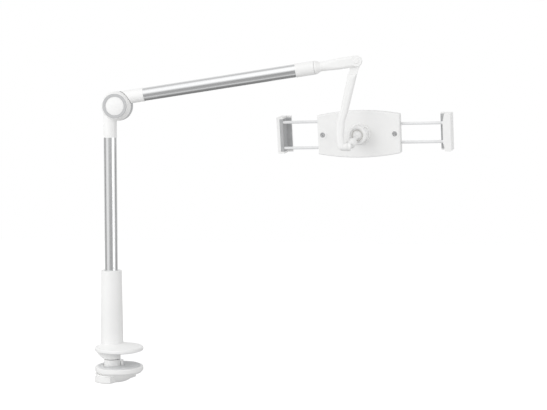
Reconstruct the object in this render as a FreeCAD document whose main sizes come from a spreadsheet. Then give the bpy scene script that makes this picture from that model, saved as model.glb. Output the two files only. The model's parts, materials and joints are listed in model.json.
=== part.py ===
import FreeCAD, Part
import math
import os
import re
import Sketcher
from FreeCAD import Placement, Rotation, Vector

# Clamp-on holder arm, in millimetres. Z is up, X runs along the arm and Y points away from the viewer.
# The origin is the middle of the upper jaw's pad, on the face that presses on the desk.

sizes = {
    # Clamp jaws
    "padRadius": 33,
    "padThickness": 1.2,
    "jawRadius": 37.5,
    "jawThickness": 6.2,
    "jawTopRound": 2.5,
    "jawBottomRound": 1.5,
    "domeBaseRadius": 33,
    "domeRise": 5.2,
    "neckRadius": 12.75,
    "neckDepth": 12,
    "padNeckGap": 1.75,
    "gussetReach": 35,
    "gussetWidth": 12,
    "gussetCurve": 24,
    "gussetFootReach": 23.4,
    "clampOpening": 22,
    "lowerJawRadius": 37.2,
    "lowerJawThickness": 10,
    "lowerJawTopRound": 1.5,
    "lowerJawBottomBevel": 3.6,
    "bossGap": 1,
    "ribRadius": 2,
    "ribReach": 4.6,
    # Clamp screw and its guide
    "screwRadius": 5,
    "screwOffset": 6,
    "screwTop": 76,
    "screwHoleClearance": 0.3,
    "nutRadius": 7,
    "nutLength": 13,
    "clipGrooveRadius": 4.2,
    "clipRadius": 6.5,
    "clipThickness": 1.2,
    "clipPocketDepth": 4,
    "clipPocketClearance": 0.3,
    "rodRadius": 3,
    "rodOffset": 17.5,
    "rodTop": 45,
    "rodFootCover": 3.5,
    "washerRadius": 8.5,
    "washerThickness": 1.7,
    "washerClearance": 0.5,
    "washerRun": 0.3,
    "rodBevel": 1,
    # Clamp knob
    "knobRadius": 31,
    "knobGap": 0.5,
    "knobRim": 1.5,
    "knobHubRadius": 8,
    "knobDepth": 14,
    "knobBowlCurve": 28,
    "knobFloor": 2,
    "tabReach": 33,
    "tabWidth": 30,
    "tabDepth": 12,
    "tabEndCurve": 33,
    "tabRound": 3,
    "tabTurn": 65.2,
    "boltRadius": 2.5,
    "boltHeadRadius": 4.5,
    "boltHeadHeight": 3,
    "boltLength": 18,
    "boltHoleClearance": 0.1,
    "boltHeadClearance": 0.3,
    # Column
    "columnOffset": 11,
    "spigotRadius": 13.8,
    "spigotLength": 17.4,
    "spigotClearance": 0.2,
    "sleeveLength": 109.2,
    "sleeveFootRadius": 17.2,
    "sleeveTopRadius": 16.1,
    "collarHeight": 4,
    "collarRound": 1,
    "bushLength": 20,
    "bushClearance": 0.05,
    "footBushHeight": 18,
    "footBushFloor": 4,
    "footBushDrop": 39.8,
    "grubRadius": 2.5,
    "grubHeight": 8.6,
    "grubInnerReach": 10.6,
    "grubOuterReach": 16.4,
    "runningFit": 0.05,
    "overcut": 1,
    # Tubes of both arms
    "tubeRadius": 10,
    "tubeWall": 1.5,
    "tubeOffset": 11,
    "fittingRadius": 10.4,
    "stemClearance": 0.05,
    "stemLength": 30,
    "lowerTubeLength": 244.5,
    "poleGap": 0.3,
    "plugLength": 23.7,
    "journalRadius": 6,
    "journalLength": 7.3,
    "journalBevel": 0.6,
    "poleGrooveRadius": 5,
    "poleClipRadius": 8.5,
    "poleClipThickness": 1,
    "poleClipGap": 0.5,
    "grooveClearance": 0.1,
    # Elbow
    "hubRadius": 22.5,
    "hubFrontRadius": 19.4,
    "hubFrontRim": 8,
    "hubFrontDepth": 15.6,
    "hubRearDepth": 14,
    "hubRearRound": 2,
    "hubHalfGap": 0.2,
    "hubRelief": 0.7,
    "lowerFittingLength": 48.2,
    "upperFittingLength": 44.7,
    "trimRadius": 18.6,
    "trimHeight": 1.4,
    "trimBevel": 0.5,
    "capRadius": 14.2,
    "capHeight": 1,
    "capSkirt": 1.4,
    "capHeadGap": 0.3,
    "capRise": 1.4,
    "capClearance": 0.1,
    "elbowBoltRadius": 4,
    "elbowHeadRadius": 6.5,
    "elbowHeadHeight": 5,
    "elbowHeadFace": 9,
    "elbowNutHeight": 5,
    "elbowNutRadius": 6.5,
    "elbowThreadEnd": 13.4,
    "elbowThreadBevel": 0.5,
    "springPocketRadius": 9.2,
    "springPocketFloor": 6.5,
    "discRadius": 8.5,
    "discThickness": 0.6,
    "discCone": 0.4,
    "discHoleClearance": 0.2,
    "frictionInnerRadius": 9,
    "frictionOuterRadius": 16,
    "frictionRecess": 0.8,
    "rearCapHeight": 1.5,
    "rearCapRadius": 12,
    # Upper arm
    "armRise": 8.7,
    "upperTubeLength": 234.9,
    "couplerLength": 28.4,
    "spindleRadius": 6,
    "spindleTail": 5,
    "spindleGrooveRadius": 5,
    "spindleClipRadius": 8,
    "spindleClipThickness": 1,
    "spindleClipGap": 0.4,
    # Folding wrist
    "wristGap": 0.3,
    "wristLength": 63.7,
    "wristRadius": 10.3,
    "wristCollarLength": 2,
    "wristNeckRadius": 7.2,
    "wristNeckStart": 9,
    "wristNeckEnd": 14,
    "wristNeckFlat": 0.2,
    "wristBodyStart": 36,
    "wristHeight": 16.5,
    "wristWidth": 18,
    "wristCorner": 4,
    "forkSlotWidth": 8.4,
    "forkSlotDepth": 20.5,
    "hingePinRadius": 3,
    "hingeHeadRadius": 4.4,
    "hingeHeadHeight": 0.8,
    "hingeHeadBevel": 1,
    "tongueThickness": 8,
    "tongueRadius": 7.6,
    "tongueLap": 1,
    "dropWidth": 12.5,
    "dropTopWidth": 14,
    "dropWaistWidth": 12.2,
    "dropBendWidth": 13,
    "dropFootWidth": 11.4,
    "dropEndWidth": 11.5,
    "dropShoulderX": 5.8,
    "dropShoulderZ": 19,
    "dropWaistX": 18.5,
    "dropWaistZ": 76,
    "dropBendX": 23.2,
    "dropBendZ": 90,
    "dropFootX": 24.5,
    "dropFootZ": 112,
    "dropEndCurve": 5.8,
    "dropEndX": 22,
    "dropEndZ": 128.2,
    "dropRound": 4.5,
    # Ball joint
    "studPinRadius": 2.5,
    "studPinCover": 1.2,
    "studHeadReach": 1.2,
    "studHeadHeight": 0.9,
    "studHeadClearance": 0.3,
    "studBossRadius": 6,
    "studBossDepth": 3,
    "studGap": 0.3,
    "knuckleRadius": 6.3,
    "knuckleWidth": 5,
    "ballAside": 23,
    "ballDepth": 30,
    "ballRise": 17,
    "ballRadius": 8.5,
    "neckFootReach": 2.5,
    "neckFootRadius": 3.4,
    "neckStepReach": 5.2,
    "neckStepRadius": 4.2,
    "neckBodyReach": 7.2,
    "neckBodyRadius": 7,
    "neckBodyEnd": 22,
    "neckTipRadius": 3.6,
    "neckTipEnd": 15,
    "ballFit": 0.05,
    "linerThickness": 0.95,
    "mouthAngle": 64,
    "linerEndAngle": 160,
    "colletRadius": 11.8,
    "colletFront": 5.5,
    "colletMouthRadius": 9.9,
    "colletLength": 16.2,
    "colletGap": 0.3,
    "baseNeckRadius": 12.9,
    "baseNeckFront": 1,
    "baseFloor": 11,
    "baseFlangeRadius": 16.5,
    "baseFlangeHeight": 4.5,
    "baseFlangeRound": 1.5,
    "lockNutRadius": 14.9,
    "lockNutFront": 8,
    "lockNutGap": 0.5,
    "lockNutLip": 2.2,
    "lockNutMouthRadius": 10.9,
    "lockNutRound": 3,
    "lobeCount": 8,
    "lobeRadius": 2.4,
    "lobeInset": 1.2,
    # Holder plate
    "holderTurn": 10.5,
    "holderTilt": 5.9,
    "holderRoll": 1.4,
    "plateShift": 2.4,
    "plateDrop": 0.8,
    "plateWidth": 129.5,
    "plateHeight": 72.4,
    "plateEndHeight": 60,
    "plateBack": 14,
    "backShellDepth": 7.5,
    "frontShellDepth": 7.5,
    "plateCorner": 2,
    "plateRound": 2,
    "plateWall": 2,
    "coverScrewSpacing": 113.4,
    "coverScrewRadius": 1.5,
    "coverHeadRadius": 3.2,
    "coverHeadHeight": 2,
    "coverBossRadius": 6.7,
    "coverBossRise": 0.6,
    "coverPostRadius": 4,
    "coverScrewLength": 9,
    "coverHoleClearance": 0.1,
    "holderPadWidth": 30,
    "holderPadHeight": 46,
    "holderPadThickness": 1.5,
    "holderPadSpacing": 82,
    "holderPadCorner": 6,
    # Wire frames
    "wireRadius": 2.25,
    "wireBend": 6,
    "layerGap": 5.2,
    "leftSpacing": 40.5,
    "leftBarReach": 11.6,
    "rightSpacing": 28.6,
    "rightBarReach": 13.4,
    "wireFit": 0.05,
    "springWire": 0.35,
    "springFit": 0.1,
    "springPark": 11,
    # Claws
    "deviceWidth": 251.5,
    "deviceShift": 3,
    "deviceThickness": 6.5,
    "deviceGap": 0.3,
    "clawLining": 1,
    "liningInset": 2,
    "leftClawHeight": 57,
    "leftWallThickness": 5.2,
    "leftLining": 5.4,
    "leftWallBack": 16,
    "leftEndThickness": 3,
    "leftLipReach": 13,
    "lipThickness": 3,
    "rightClawHeight": 57.5,
    "rightClawTopHeight": 32,
    "rightBlockReach": 1.2,
    "rightWallThickness": 10,
    "rightClawBack": 16.6,
    "rightShoulder": 2.7,
    "rightLipReach": 9,
    "clawRound": 1.5,
    "rodSkin": 1.8,
}

# Sizes worked out from the ones above, each written once as a formula
formulas = {
    "jawTop": "padThickness + jawThickness",
    "capBulge": "capRise + capHeight / 2",
    "capDome": "(capRadius^2 + capBulge^2) / (2 * capBulge)",
    "spigotFoot": "jawTop + domeRise",
    "spigotTop": "spigotFoot + spigotLength",
    "sleeveBore": "spigotRadius + spigotClearance",
    "sleeveTop": "spigotFoot + sleeveLength",
    "collarTop": "sleeveTop + collarHeight",
    "bushRadius": "sleeveBore - bushClearance",
    "poleBore": "tubeRadius + runningFit",
    "footBushTop": "sleeveTop - footBushDrop + footBushHeight",
    "footBushFoot": "sleeveTop - footBushDrop",
    "poleFoot": "footBushFoot + footBushFloor + poleGap",
    "tubeBore": "tubeRadius - tubeWall",
    "stemRadius": "tubeBore - stemClearance",
    "lowerTubeTop": "poleFoot + lowerTubeLength",
    "elbowHeight": "lowerTubeTop + lowerFittingLength",
    "jawFace": "-clampOpening",
    "lowerJawTop": "jawFace - padThickness",
    "lowerJawFoot": "lowerJawTop - lowerJawThickness",
    "bossTop": "-neckDepth - bossGap",
    "clipFloor": "bossTop - clipPocketDepth",
    "screwFit": "screwRadius + runningFit",
    "knobTop": "lowerJawFoot - knobGap",
    "knobFoot": "knobTop - knobDepth",
    "boltSeat": "knobFoot + boltHeadHeight",
    "screwFoot": "boltSeat + knobFloor",
    "washerTop": "lowerJawFoot + washerThickness + washerRun",
    "wristEnd": "spindleStart + wristLength",
    "knuckleFoot": "dropEndWidth / 2 + studBossDepth + studGap",
    "knuckleMiddle": "knuckleFoot + knuckleWidth / 2",
    "neckReach": "sqrt(ballDepth^2 + ballRise^2 + (ballAside - knuckleMiddle)^2)",
    "upperTubeEnd": "upperFittingLength + upperTubeLength",
    "couplerEnd": "upperTubeEnd + couplerLength",
    "spindleStart": "couplerEnd + wristGap",
    "stemFoot": "upperTubeEnd - stemLength",
    "linerRadius": "ballRadius + ballFit + linerThickness",
    "plateFront": "plateBack + backShellDepth + frontShellDepth",
    "plateSplit": "plateBack + backShellDepth",
    "plateLeft": "-plateShift - plateWidth / 2",
    "plateRight": "-plateShift + plateWidth / 2",
    "leftLayer": "plateSplit - layerGap / 2",
    "rightLayer": "plateSplit + layerGap / 2",
    "deviceBack": "plateFront + holderPadThickness + deviceGap",
    "deviceFront": "deviceBack + deviceThickness",
    "deviceLeft": "deviceShift - deviceWidth / 2 - deviceGap",
    "deviceRight": "deviceShift + deviceWidth / 2 + deviceGap",
    "leftBar": "-plateShift - leftBarReach",
    "rightBar": "-plateShift + rightBarReach",
    "leftWallOuter": "deviceLeft - leftLining - leftWallThickness",
    "rightWallOuter": "deviceRight + clawLining + rightWallThickness",
}


os.makedirs("parts", exist_ok=True)
doc = FreeCAD.newDocument("HolderArm")
sheet = doc.addObject("Spreadsheet::Sheet", "Sizes")
for row, (name, size) in enumerate(sizes.items(), start=1):
    sheet.set("A" + str(row), name)
    sheet.set("B" + str(row), str(size))
    sheet.setAlias("B" + str(row), name)
doc.recompute()

nodes = []


# A formula in plain size names, written out with the sheet's name before each size
def bound(formula):
    def full(match):
        word = match.group()
        if word in formulas:
            return "(" + bound(formulas[word]) + ")"
        return "Sizes." + word if word in sizes else word
    return re.sub(r"[A-Za-z]\w*", full, str(formula))


def value(formula):
    return float(sheet.evalExpression(bound(formula)))


def point(x, y, z):
    return Vector(value(x), value(y), value(z))


def at(x, y, z):
    return Placement(point(x, y, z), Rotation())


def newBody(label):
    body = doc.addObject("PartDesign::Body", label)
    body.Label = label
    return body


# Puts a finished sub-part in its group's frame and keeps it for export
def keep(piece, frame=Placement()):
    doc.recompute()
    piece.Placement = frame
    nodes.append(piece)
    return piece


def sketchOn(body, role, offset):
    plane = next(each for each in body.Origin.OriginFeatures if each.Role == role)
    sketch = body.newObject("Sketcher::SketchObject", body.Name + "Sketch")
    sketch.AttachmentSupport = [(plane, "")]
    sketch.MapMode = "FlatFace"
    sketch.setExpression("AttachmentOffset.Base.z", bound(offset))
    return sketch


def constrain(sketch, kind, places, formula):
    index = sketch.addConstraint(Sketcher.Constraint(kind, *places, value(formula)))
    sketch.setExpression("Constraints[%d]" % index, bound(formula))


def circle(sketch, x, y, radius):
    centre = Vector(value(x), value(y), 0)
    index = sketch.addGeometry(Part.Circle(centre, Vector(0, 0, 1), value(radius)), False)
    constrain(sketch, "DistanceX", (-1, 1, index, 3), x)
    constrain(sketch, "DistanceY", (-1, 1, index, 3), y)
    constrain(sketch, "Radius", (index,), radius)


# An arc between two points: side 1 has its centre left of the way from start to end, side -1 right of it
def arcBetween(start, end, radius, side):
    chord = end - start
    reach = math.sqrt(max(radius ** 2 - (chord.Length / 2) ** 2, 0))
    left = Vector(-chord.y, chord.x, 0).normalize()
    centre = (start + end) / 2 + left * (reach * side)
    first, last = (start, end) if side > 0 else (end, start)
    low = math.atan2(first.y - centre.y, first.x - centre.x)
    high = math.atan2(last.y - centre.y, last.x - centre.x)
    if high <= low:
        high += 2 * math.pi
    return Part.ArcOfCircle(Part.Circle(centre, Vector(0, 0, 1), radius), low, high)


# A closed outline through corners (x, y), where a third entry is the radius of an arc to the next corner
def outline(sketch, corners):
    first = sketch.GeometryCount
    count = len(corners)
    places = [Vector(value(corner[0]), value(corner[1]), 0) for corner in corners]
    ends = []
    for index, corner in enumerate(corners):
        start, end = places[index], places[(index + 1) % count]
        if len(corner) == 2:
            sketch.addGeometry(Part.LineSegment(start, end), False)
            ends.append((1, 2))
        else:
            side = corner[3] if len(corner) == 4 else 1
            sketch.addGeometry(arcBetween(start, end, value(corner[2]), side), False)
            ends.append((1, 2) if side > 0 else (2, 1))
    for index, corner in enumerate(corners):
        following = (index + 1) % count
        join = (first + index, ends[index][1], first + following, ends[following][0])
        sketch.addConstraint(Sketcher.Constraint("Coincident", *join))
        constrain(sketch, "DistanceX", (-1, 1, first + index, ends[index][0]), corner[0])
        constrain(sketch, "DistanceY", (-1, 1, first + index, ends[index][0]), corner[1])
        if len(corner) > 2:
            constrain(sketch, "Radius", (first + index,), corner[2])


def rectangle(sketch, x, y, width, height):
    west, east = f"{x} - ({width}) / 2", f"{x} + ({width}) / 2"
    south, north = f"{y} - ({height}) / 2", f"{y} + ({height}) / 2"
    outline(sketch, [(west, south), (east, south), (east, north), (west, north)])


def softRectangle(sketch, x, y, width, height, corner):
    west, east = f"{x} - ({width}) / 2", f"{x} + ({width}) / 2"
    south, north = f"{y} - ({height}) / 2", f"{y} + ({height}) / 2"
    outline(sketch, [
        (f"{west} + {corner}", south),
        (f"{east} - {corner}", south, corner),
        (east, f"{south} + {corner}"),
        (east, f"{north} - {corner}", corner),
        (f"{east} - {corner}", north),
        (f"{west} + {corner}", north, corner),
        (west, f"{north} - {corner}"),
        (west, f"{south} + {corner}", corner),
    ])


# Adds or cuts the drawn profile between two places on the axis that stands on the plane
def between(body, kind, role, low, high, draw, drawing):
    backwards = role == "XZ_Plane"
    sketch = sketchOn(body, role, f"-({low})" if backwards else low)
    draw(sketch, *drawing)
    feature = body.newObject(kind, body.Name + kind[12:])
    feature.Profile = sketch
    feature.setExpression("Length", bound(f"({high}) - ({low})"))
    feature.Reversed = backwards == (kind == "PartDesign::Pad")
    doc.recompute()
    return feature


def add(body, role, low, high, draw, *drawing):
    return between(body, "PartDesign::Pad", role, low, high, draw, drawing)


def cut(body, role, low, high, draw, *drawing):
    before = body.Tip.Shape.Volume
    feature = between(body, "PartDesign::Pocket", role, low, high, draw, drawing)
    if feature.Shape.Volume > before - 0.001:
        raise ValueError("a cut in " + body.Label + " removes nothing")
    return feature


# A piece turned about its Z axis, from an outline of radius and height
def turn(body, corners, groove=False):
    sketch = sketchOn(body, "XZ_Plane", "0")
    outline(sketch, corners)
    feature = body.newObject("PartDesign::Groove" if groove else "PartDesign::Revolution", body.Name + "Turn")
    feature.Profile = sketch
    feature.ReferenceAxis = (sketch, ["V_Axis"])
    feature.Angle = 360
    doc.recompute()
    return feature


def turned(label, corners, frame=Placement()):
    body = newBody(label)
    turn(body, corners)
    return keep(body, frame)


# Rounds or bevels the edges of the body that pass the test
def soften(body, radius, test, kind="Fillet"):
    base = body.Tip
    names = ["Edge%d" % (index + 1) for index, edge in enumerate(base.Shape.Edges) if test(edge)]
    if not names:
        raise ValueError("no edge to soften in " + body.Label)
    feature = body.newObject("PartDesign::" + kind, body.Name + kind)
    feature.Base = (base, names)
    feature.setExpression("Radius" if kind == "Fillet" else "Size", bound(radius))
    doc.recompute()
    return feature


def near(number, formula):
    return abs(number - value(formula)) < 0.02


def ringAt(height, radius):
    def test(edge):
        curve = edge.Curve
        return isinstance(curve, Part.Circle) and near(curve.Center.z, height) and near(curve.Radius, radius)
    return test


# Edges that lie wholly at one place on an axis
def flatAt(axis, *places):
    def test(edge):
        spots = [vertex.Point for vertex in edge.Vertexes] + [edge.CenterOfMass]
        return any(all(near(getattr(spot, axis), place) for spot in spots) for place in places)
    return test


def joined(label, kind, pieces):
    if kind == "Part::MultiFuse":
        result = doc.addObject(kind, label)
        result.Shapes = pieces
    else:
        result = doc.addObject("Part::Cut", label)
        result.Base, result.Tool = pieces
    result.Label = label
    return result


def primitive(kind, frame, **measures):
    piece = doc.addObject("Part::" + kind, kind)
    for name, formula in measures.items():
        piece.setExpression(name, bound(formula))
    piece.Placement = frame
    return piece


# Frames of the groups that move together
alongY = Rotation(Vector(1, 0, 0), -90)
alongX = Rotation(Vector(0, 1, 0), 90)
column = at("-columnOffset", "0", "0")
screwLine = at("-screwOffset", "0", "0")
elbow = at("0", "0", "elbowHeight")
elbowAxis = Placement(elbow.Base, alongY)
arm = Placement(elbow.Base, Rotation(Vector(0, 1, 0), -value("armRise")))
armAxis = arm * Placement(Vector(), alongY)
armLine = arm * Placement(point("0", "0", "tubeOffset"), alongX)
foldHinge = Placement((arm * at("wristEnd", "0", "tubeOffset")).Base, Rotation())
dropHinge = foldHinge * at("-dropEndX", "0", "-dropEndZ")
holderAim = (Rotation(Vector(0, 0, 1), -value("holderTurn")) * Rotation(Vector(1, 0, 0), value("holderTilt"))
             * Rotation(Vector(0, 1, 0), -value("holderRoll")))
holder = Placement((dropHinge * at("ballAside", "ballDepth", "ballRise")).Base, holderAim)
holderAxis = holder * Placement(Vector(), alongY)


def clampPads():
    upper = newBody("upper_pad")
    add(upper, "XY_Plane", "0", "padThickness", circle, "0", "0", "padRadius")
    cut(upper, "XY_Plane", "0", "padThickness", circle, "-columnOffset", "0", "neckRadius + padNeckGap")
    cut(upper, "XY_Plane", "0", "padThickness", rectangle,
        "-padRadius", "0", "2 * (padRadius - columnOffset)", "gussetWidth + 2 * padNeckGap")
    keep(upper)
    lower = newBody("lower_pad")
    add(lower, "XY_Plane", "lowerJawTop", "jawFace", circle, "0", "0", "padRadius")
    cut(lower, "XY_Plane", "lowerJawTop", "jawFace", circle, "-columnOffset", "0", "neckRadius + padNeckGap")
    cut(lower, "XY_Plane", "lowerJawTop", "jawFace", circle, "ribReach", "0", "ribRadius + padNeckGap")
    keep(lower)


# The fixed jaw: a round plate whose dome leans over to the column's foot
def upperJaw():
    body = newBody("upper_jaw")
    add(body, "XY_Plane", "padThickness", "jawTop", circle, "0", "0", "jawRadius")
    soften(body, "jawTopRound", ringAt("jawTop", "jawRadius"))
    soften(body, "jawBottomRound", ringAt("padThickness", "jawRadius"))
    foot = sketchOn(body, "XY_Plane", "jawTop")
    circle(foot, "0", "0", "domeBaseRadius")
    crown = sketchOn(body, "XY_Plane", "spigotFoot")
    circle(crown, "-columnOffset", "0", "sleeveFootRadius")
    dome = body.newObject("PartDesign::AdditiveLoft", "Dome")
    dome.Profile = foot
    dome.Sections = [crown]
    doc.recompute()
    add(body, "XY_Plane", "spigotFoot", "spigotTop", circle, "-columnOffset", "0", "spigotRadius")
    add(body, "XY_Plane", "-neckDepth", "padThickness", circle, "-columnOffset", "0", "neckRadius")
    add(body, "XZ_Plane", "-gussetWidth / 2", "gussetWidth / 2", outline, [
        ("-gussetReach", "padThickness", "gussetCurve"),
        ("-gussetFootReach", "-neckDepth"),
        ("-columnOffset", "-neckDepth"),
        ("-columnOffset", "padThickness"),
    ])
    cut(body, "XY_Plane", "-neckDepth", "spigotTop", circle,
        "-screwOffset", "0", "screwRadius + screwHoleClearance")
    cut(body, "XY_Plane", "spigotTop - nutLength", "spigotTop", circle, "-screwOffset", "0", "nutRadius")
    cut(body, "XY_Plane", "-neckDepth", "spigotTop", circle, "-rodOffset", "0", "rodRadius + runningFit")
    cut(body, "XZ_Plane", "grubInnerReach", "spigotRadius", circle,
        "-columnOffset", "spigotFoot + grubHeight", "grubRadius")
    keep(body)
    turned("screw_nut", [
        ("screwFit", "spigotTop - nutLength"),
        ("nutRadius", "spigotTop - nutLength"),
        ("nutRadius", "spigotTop"),
        ("screwFit", "spigotTop"),
    ], screwLine)


def columnSleeve():
    body = newBody("column_sleeve")
    turn(body, [
        ("sleeveBore", "spigotFoot"),
        ("sleeveFootRadius", "spigotFoot"),
        ("sleeveTopRadius", "sleeveTop"),
        ("sleeveBore", "sleeveTop"),
    ])
    cut(body, "XZ_Plane", "sleeveBore - overcut", "sleeveFootRadius + overcut", circle,
        "0", "spigotFoot + grubHeight", "grubRadius")
    keep(body, column)
    bush = newBody("pole_bush")
    turn(bush, [
        ("poleBore", "sleeveTop - bushLength"),
        ("bushRadius", "sleeveTop - bushLength"),
        ("bushRadius", "sleeveTop"),
        ("sleeveTopRadius", "sleeveTop"),
        ("sleeveTopRadius", "collarTop"),
        ("poleBore", "collarTop"),
    ])
    soften(bush, "collarRound", ringAt("collarTop", "sleeveTopRadius"))
    keep(bush, column)
    turned("foot_bush", [
        ("journalRadius + runningFit", "footBushFoot"),
        ("bushRadius", "footBushFoot"),
        ("bushRadius", "footBushTop"),
        ("poleBore", "footBushTop"),
        ("poleBore", "footBushFoot + footBushFloor"),
        ("journalRadius + runningFit", "footBushFoot + footBushFloor"),
    ], column)
    grubFrame = Placement(point("-columnOffset", "grubInnerReach", "spigotFoot + grubHeight"), alongY)
    grub = primitive("Cylinder", grubFrame, Radius="grubRadius", Height="grubOuterReach - grubInnerReach")
    grub.Label = "column_grub_screw"
    nodes.append(grub)


# The sliding jaw, with the boss that the screw and the guide rod pass through
def lowerJaw():
    body = newBody("lower_jaw")
    add(body, "XY_Plane", "lowerJawFoot", "lowerJawTop", circle, "0", "0", "lowerJawRadius")
    soften(body, "lowerJawTopRound", ringAt("lowerJawTop", "lowerJawRadius"))
    soften(body, "lowerJawBottomBevel", ringAt("lowerJawFoot", "lowerJawRadius"), "Chamfer")
    add(body, "XY_Plane", "lowerJawTop", "bossTop", circle, "-columnOffset", "0", "neckRadius")
    add(body, "XY_Plane", "lowerJawTop", "bossTop", circle, "ribReach", "0", "ribRadius")
    cut(body, "XY_Plane", "lowerJawFoot", "bossTop", circle, "-screwOffset", "0", "screwFit")
    cut(body, "XY_Plane", "clipFloor", "bossTop", circle,
        "-screwOffset", "0", "clipRadius + clipPocketClearance")
    cut(body, "XY_Plane", "lowerJawFoot", "washerTop", circle,
        "-screwOffset", "0", "washerRadius + washerClearance")
    cut(body, "XY_Plane", "lowerJawFoot + rodFootCover", "bossTop", circle, "-rodOffset", "0", "rodRadius")
    keep(body)
    turned("guide_rod", [
        ("0", "lowerJawFoot + rodFootCover"),
        ("rodRadius", "lowerJawFoot + rodFootCover"),
        ("rodRadius", "rodTop - rodBevel"),
        ("rodRadius - rodBevel", "rodTop"),
        ("0", "rodTop"),
    ], at("-rodOffset", "0", "0"))
    turned("thrust_washer", [
        ("screwFit", "washerTop - washerThickness"),
        ("washerRadius", "washerTop - washerThickness"),
        ("washerRadius", "washerTop"),
        ("screwFit", "washerTop"),
    ], screwLine)


def clampScrew():
    body = newBody("clamp_screw")
    turn(body, [
        ("boltRadius", "screwFoot"),
        ("screwRadius", "screwFoot"),
        ("screwRadius", "clipFloor"),
        ("clipGrooveRadius", "clipFloor"),
        ("clipGrooveRadius", "clipFloor + clipThickness + grooveClearance"),
        ("screwRadius", "clipFloor + clipThickness + grooveClearance"),
        ("screwRadius", "screwTop - rodBevel"),
        ("screwRadius - rodBevel", "screwTop"),
        ("0", "screwTop"),
        ("0", "boltSeat + boltLength"),
        ("boltRadius", "boltSeat + boltLength"),
    ])
    keep(body, screwLine)
    turned("screw_clip", [
        ("clipGrooveRadius", "clipFloor + grooveClearance"),
        ("clipRadius", "clipFloor + grooveClearance"),
        ("clipRadius", "clipFloor + grooveClearance + clipThickness"),
        ("clipGrooveRadius", "clipFloor + grooveClearance + clipThickness"),
    ], screwLine)


# The knob: a shallow bowl with two grip tabs across it
def clampKnob():
    body = newBody("clamp_knob")
    add(body, "XY_Plane", "knobTop - tabDepth", "knobTop - knobRim", outline, [
        ("-tabReach", "-tabWidth / 2"),
        ("tabReach", "-tabWidth / 2", "tabEndCurve"),
        ("tabReach", "tabWidth / 2"),
        ("-tabReach", "tabWidth / 2", "tabEndCurve"),
    ])
    soften(body, "tabRound", flatAt("z", "knobTop - tabDepth"))
    turn(body, [
        ("0", "knobFoot"),
        ("knobHubRadius", "knobFoot", "knobBowlCurve"),
        ("knobRadius", "knobTop - knobRim"),
        ("knobRadius", "knobTop"),
        ("knobHubRadius", "knobTop"),
        ("knobHubRadius", "washerTop - washerThickness - grooveClearance"),
        ("0", "washerTop - washerThickness - grooveClearance"),
    ])
    cut(body, "XY_Plane", "screwFoot", "washerTop", circle, "0", "0", "screwRadius")
    cut(body, "XY_Plane", "boltSeat", "screwFoot", circle, "0", "0", "boltRadius + boltHoleClearance")
    cut(body, "XY_Plane", "knobFoot", "boltSeat", circle, "0", "0", "boltHeadRadius + boltHeadClearance")
    keep(body, Placement(screwLine.Base, Rotation(Vector(0, 0, 1), value("tabTurn"))))
    turned("knob_bolt", [
        ("0", "knobFoot"),
        ("boltHeadRadius", "knobFoot"),
        ("boltHeadRadius", "boltSeat"),
        ("boltRadius", "boltSeat"),
        ("boltRadius", "boltSeat + boltLength"),
        ("0", "boltSeat + boltLength"),
    ], screwLine)


def lowerTube():
    turned("lower_tube", [
        ("tubeBore", "poleFoot"),
        ("tubeRadius", "poleFoot"),
        ("tubeRadius", "lowerTubeTop"),
        ("tubeBore", "lowerTubeTop"),
    ], column)
    clipTop = "footBushFoot - poleClipGap"
    clipFoot = f"{clipTop} - poleClipThickness"
    turned("pole_plug", [
        ("0", "poleFoot - journalLength"),
        ("journalRadius - journalBevel", "poleFoot - journalLength"),
        ("journalRadius", "poleFoot - journalLength + journalBevel"),
        ("journalRadius", f"{clipFoot} - grooveClearance"),
        ("poleGrooveRadius", f"{clipFoot} - grooveClearance"),
        ("poleGrooveRadius", f"{clipTop} + grooveClearance"),
        ("journalRadius", f"{clipTop} + grooveClearance"),
        ("journalRadius", "poleFoot"),
        ("stemRadius", "poleFoot"),
        ("stemRadius", "poleFoot + plugLength"),
        ("0", "poleFoot + plugLength"),
    ], column)
    turned("pole_clip", [
        ("poleGrooveRadius", clipFoot),
        ("poleClipRadius", clipFoot),
        ("poleClipRadius", clipTop),
        ("poleGrooveRadius", clipTop),
    ], column)


# The front half of the elbow: a tapered hub and the fitting that the lower tube goes into
def lowerKnuckle():
    body = newBody("elbow_lower_knuckle")
    add(body, "XY_Plane", "-lowerFittingLength", "0", circle, "-tubeOffset", "0", "fittingRadius")
    add(body, "XY_Plane", "-lowerFittingLength - stemLength", "-lowerFittingLength", circle,
        "-tubeOffset", "0", "stemRadius")
    cut(body, "XZ_Plane", "-hubHalfGap", "fittingRadius + overcut", circle, "0", "0", "hubRadius + hubRelief")
    add(body, "XZ_Plane", "-hubFrontRim", "-hubHalfGap", circle, "0", "0", "hubRadius")
    base = sketchOn(body, "XZ_Plane", "hubFrontRim")
    circle(base, "0", "0", "hubRadius")
    face = sketchOn(body, "XZ_Plane", "hubFrontDepth")
    circle(face, "0", "0", "hubFrontRadius")
    taper = body.newObject("PartDesign::AdditiveLoft", "HubTaper")
    taper.Profile = base
    taper.Sections = [face]
    doc.recompute()
    cut(body, "XZ_Plane", "-frictionRecess - hubHalfGap", "0", ring,
        "frictionInnerRadius", "frictionOuterRadius")
    cut(body, "XZ_Plane", "-hubFrontDepth", "-elbowHeadFace", circle, "0", "0", "capRadius + capClearance")
    cut(body, "XZ_Plane", "-elbowHeadFace", "0", circle, "0", "0", "elbowBoltRadius")
    keep(body, elbow)


def ring(sketch, inner, outer):
    circle(sketch, "0", "0", outer)
    circle(sketch, "0", "0", inner)


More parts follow.
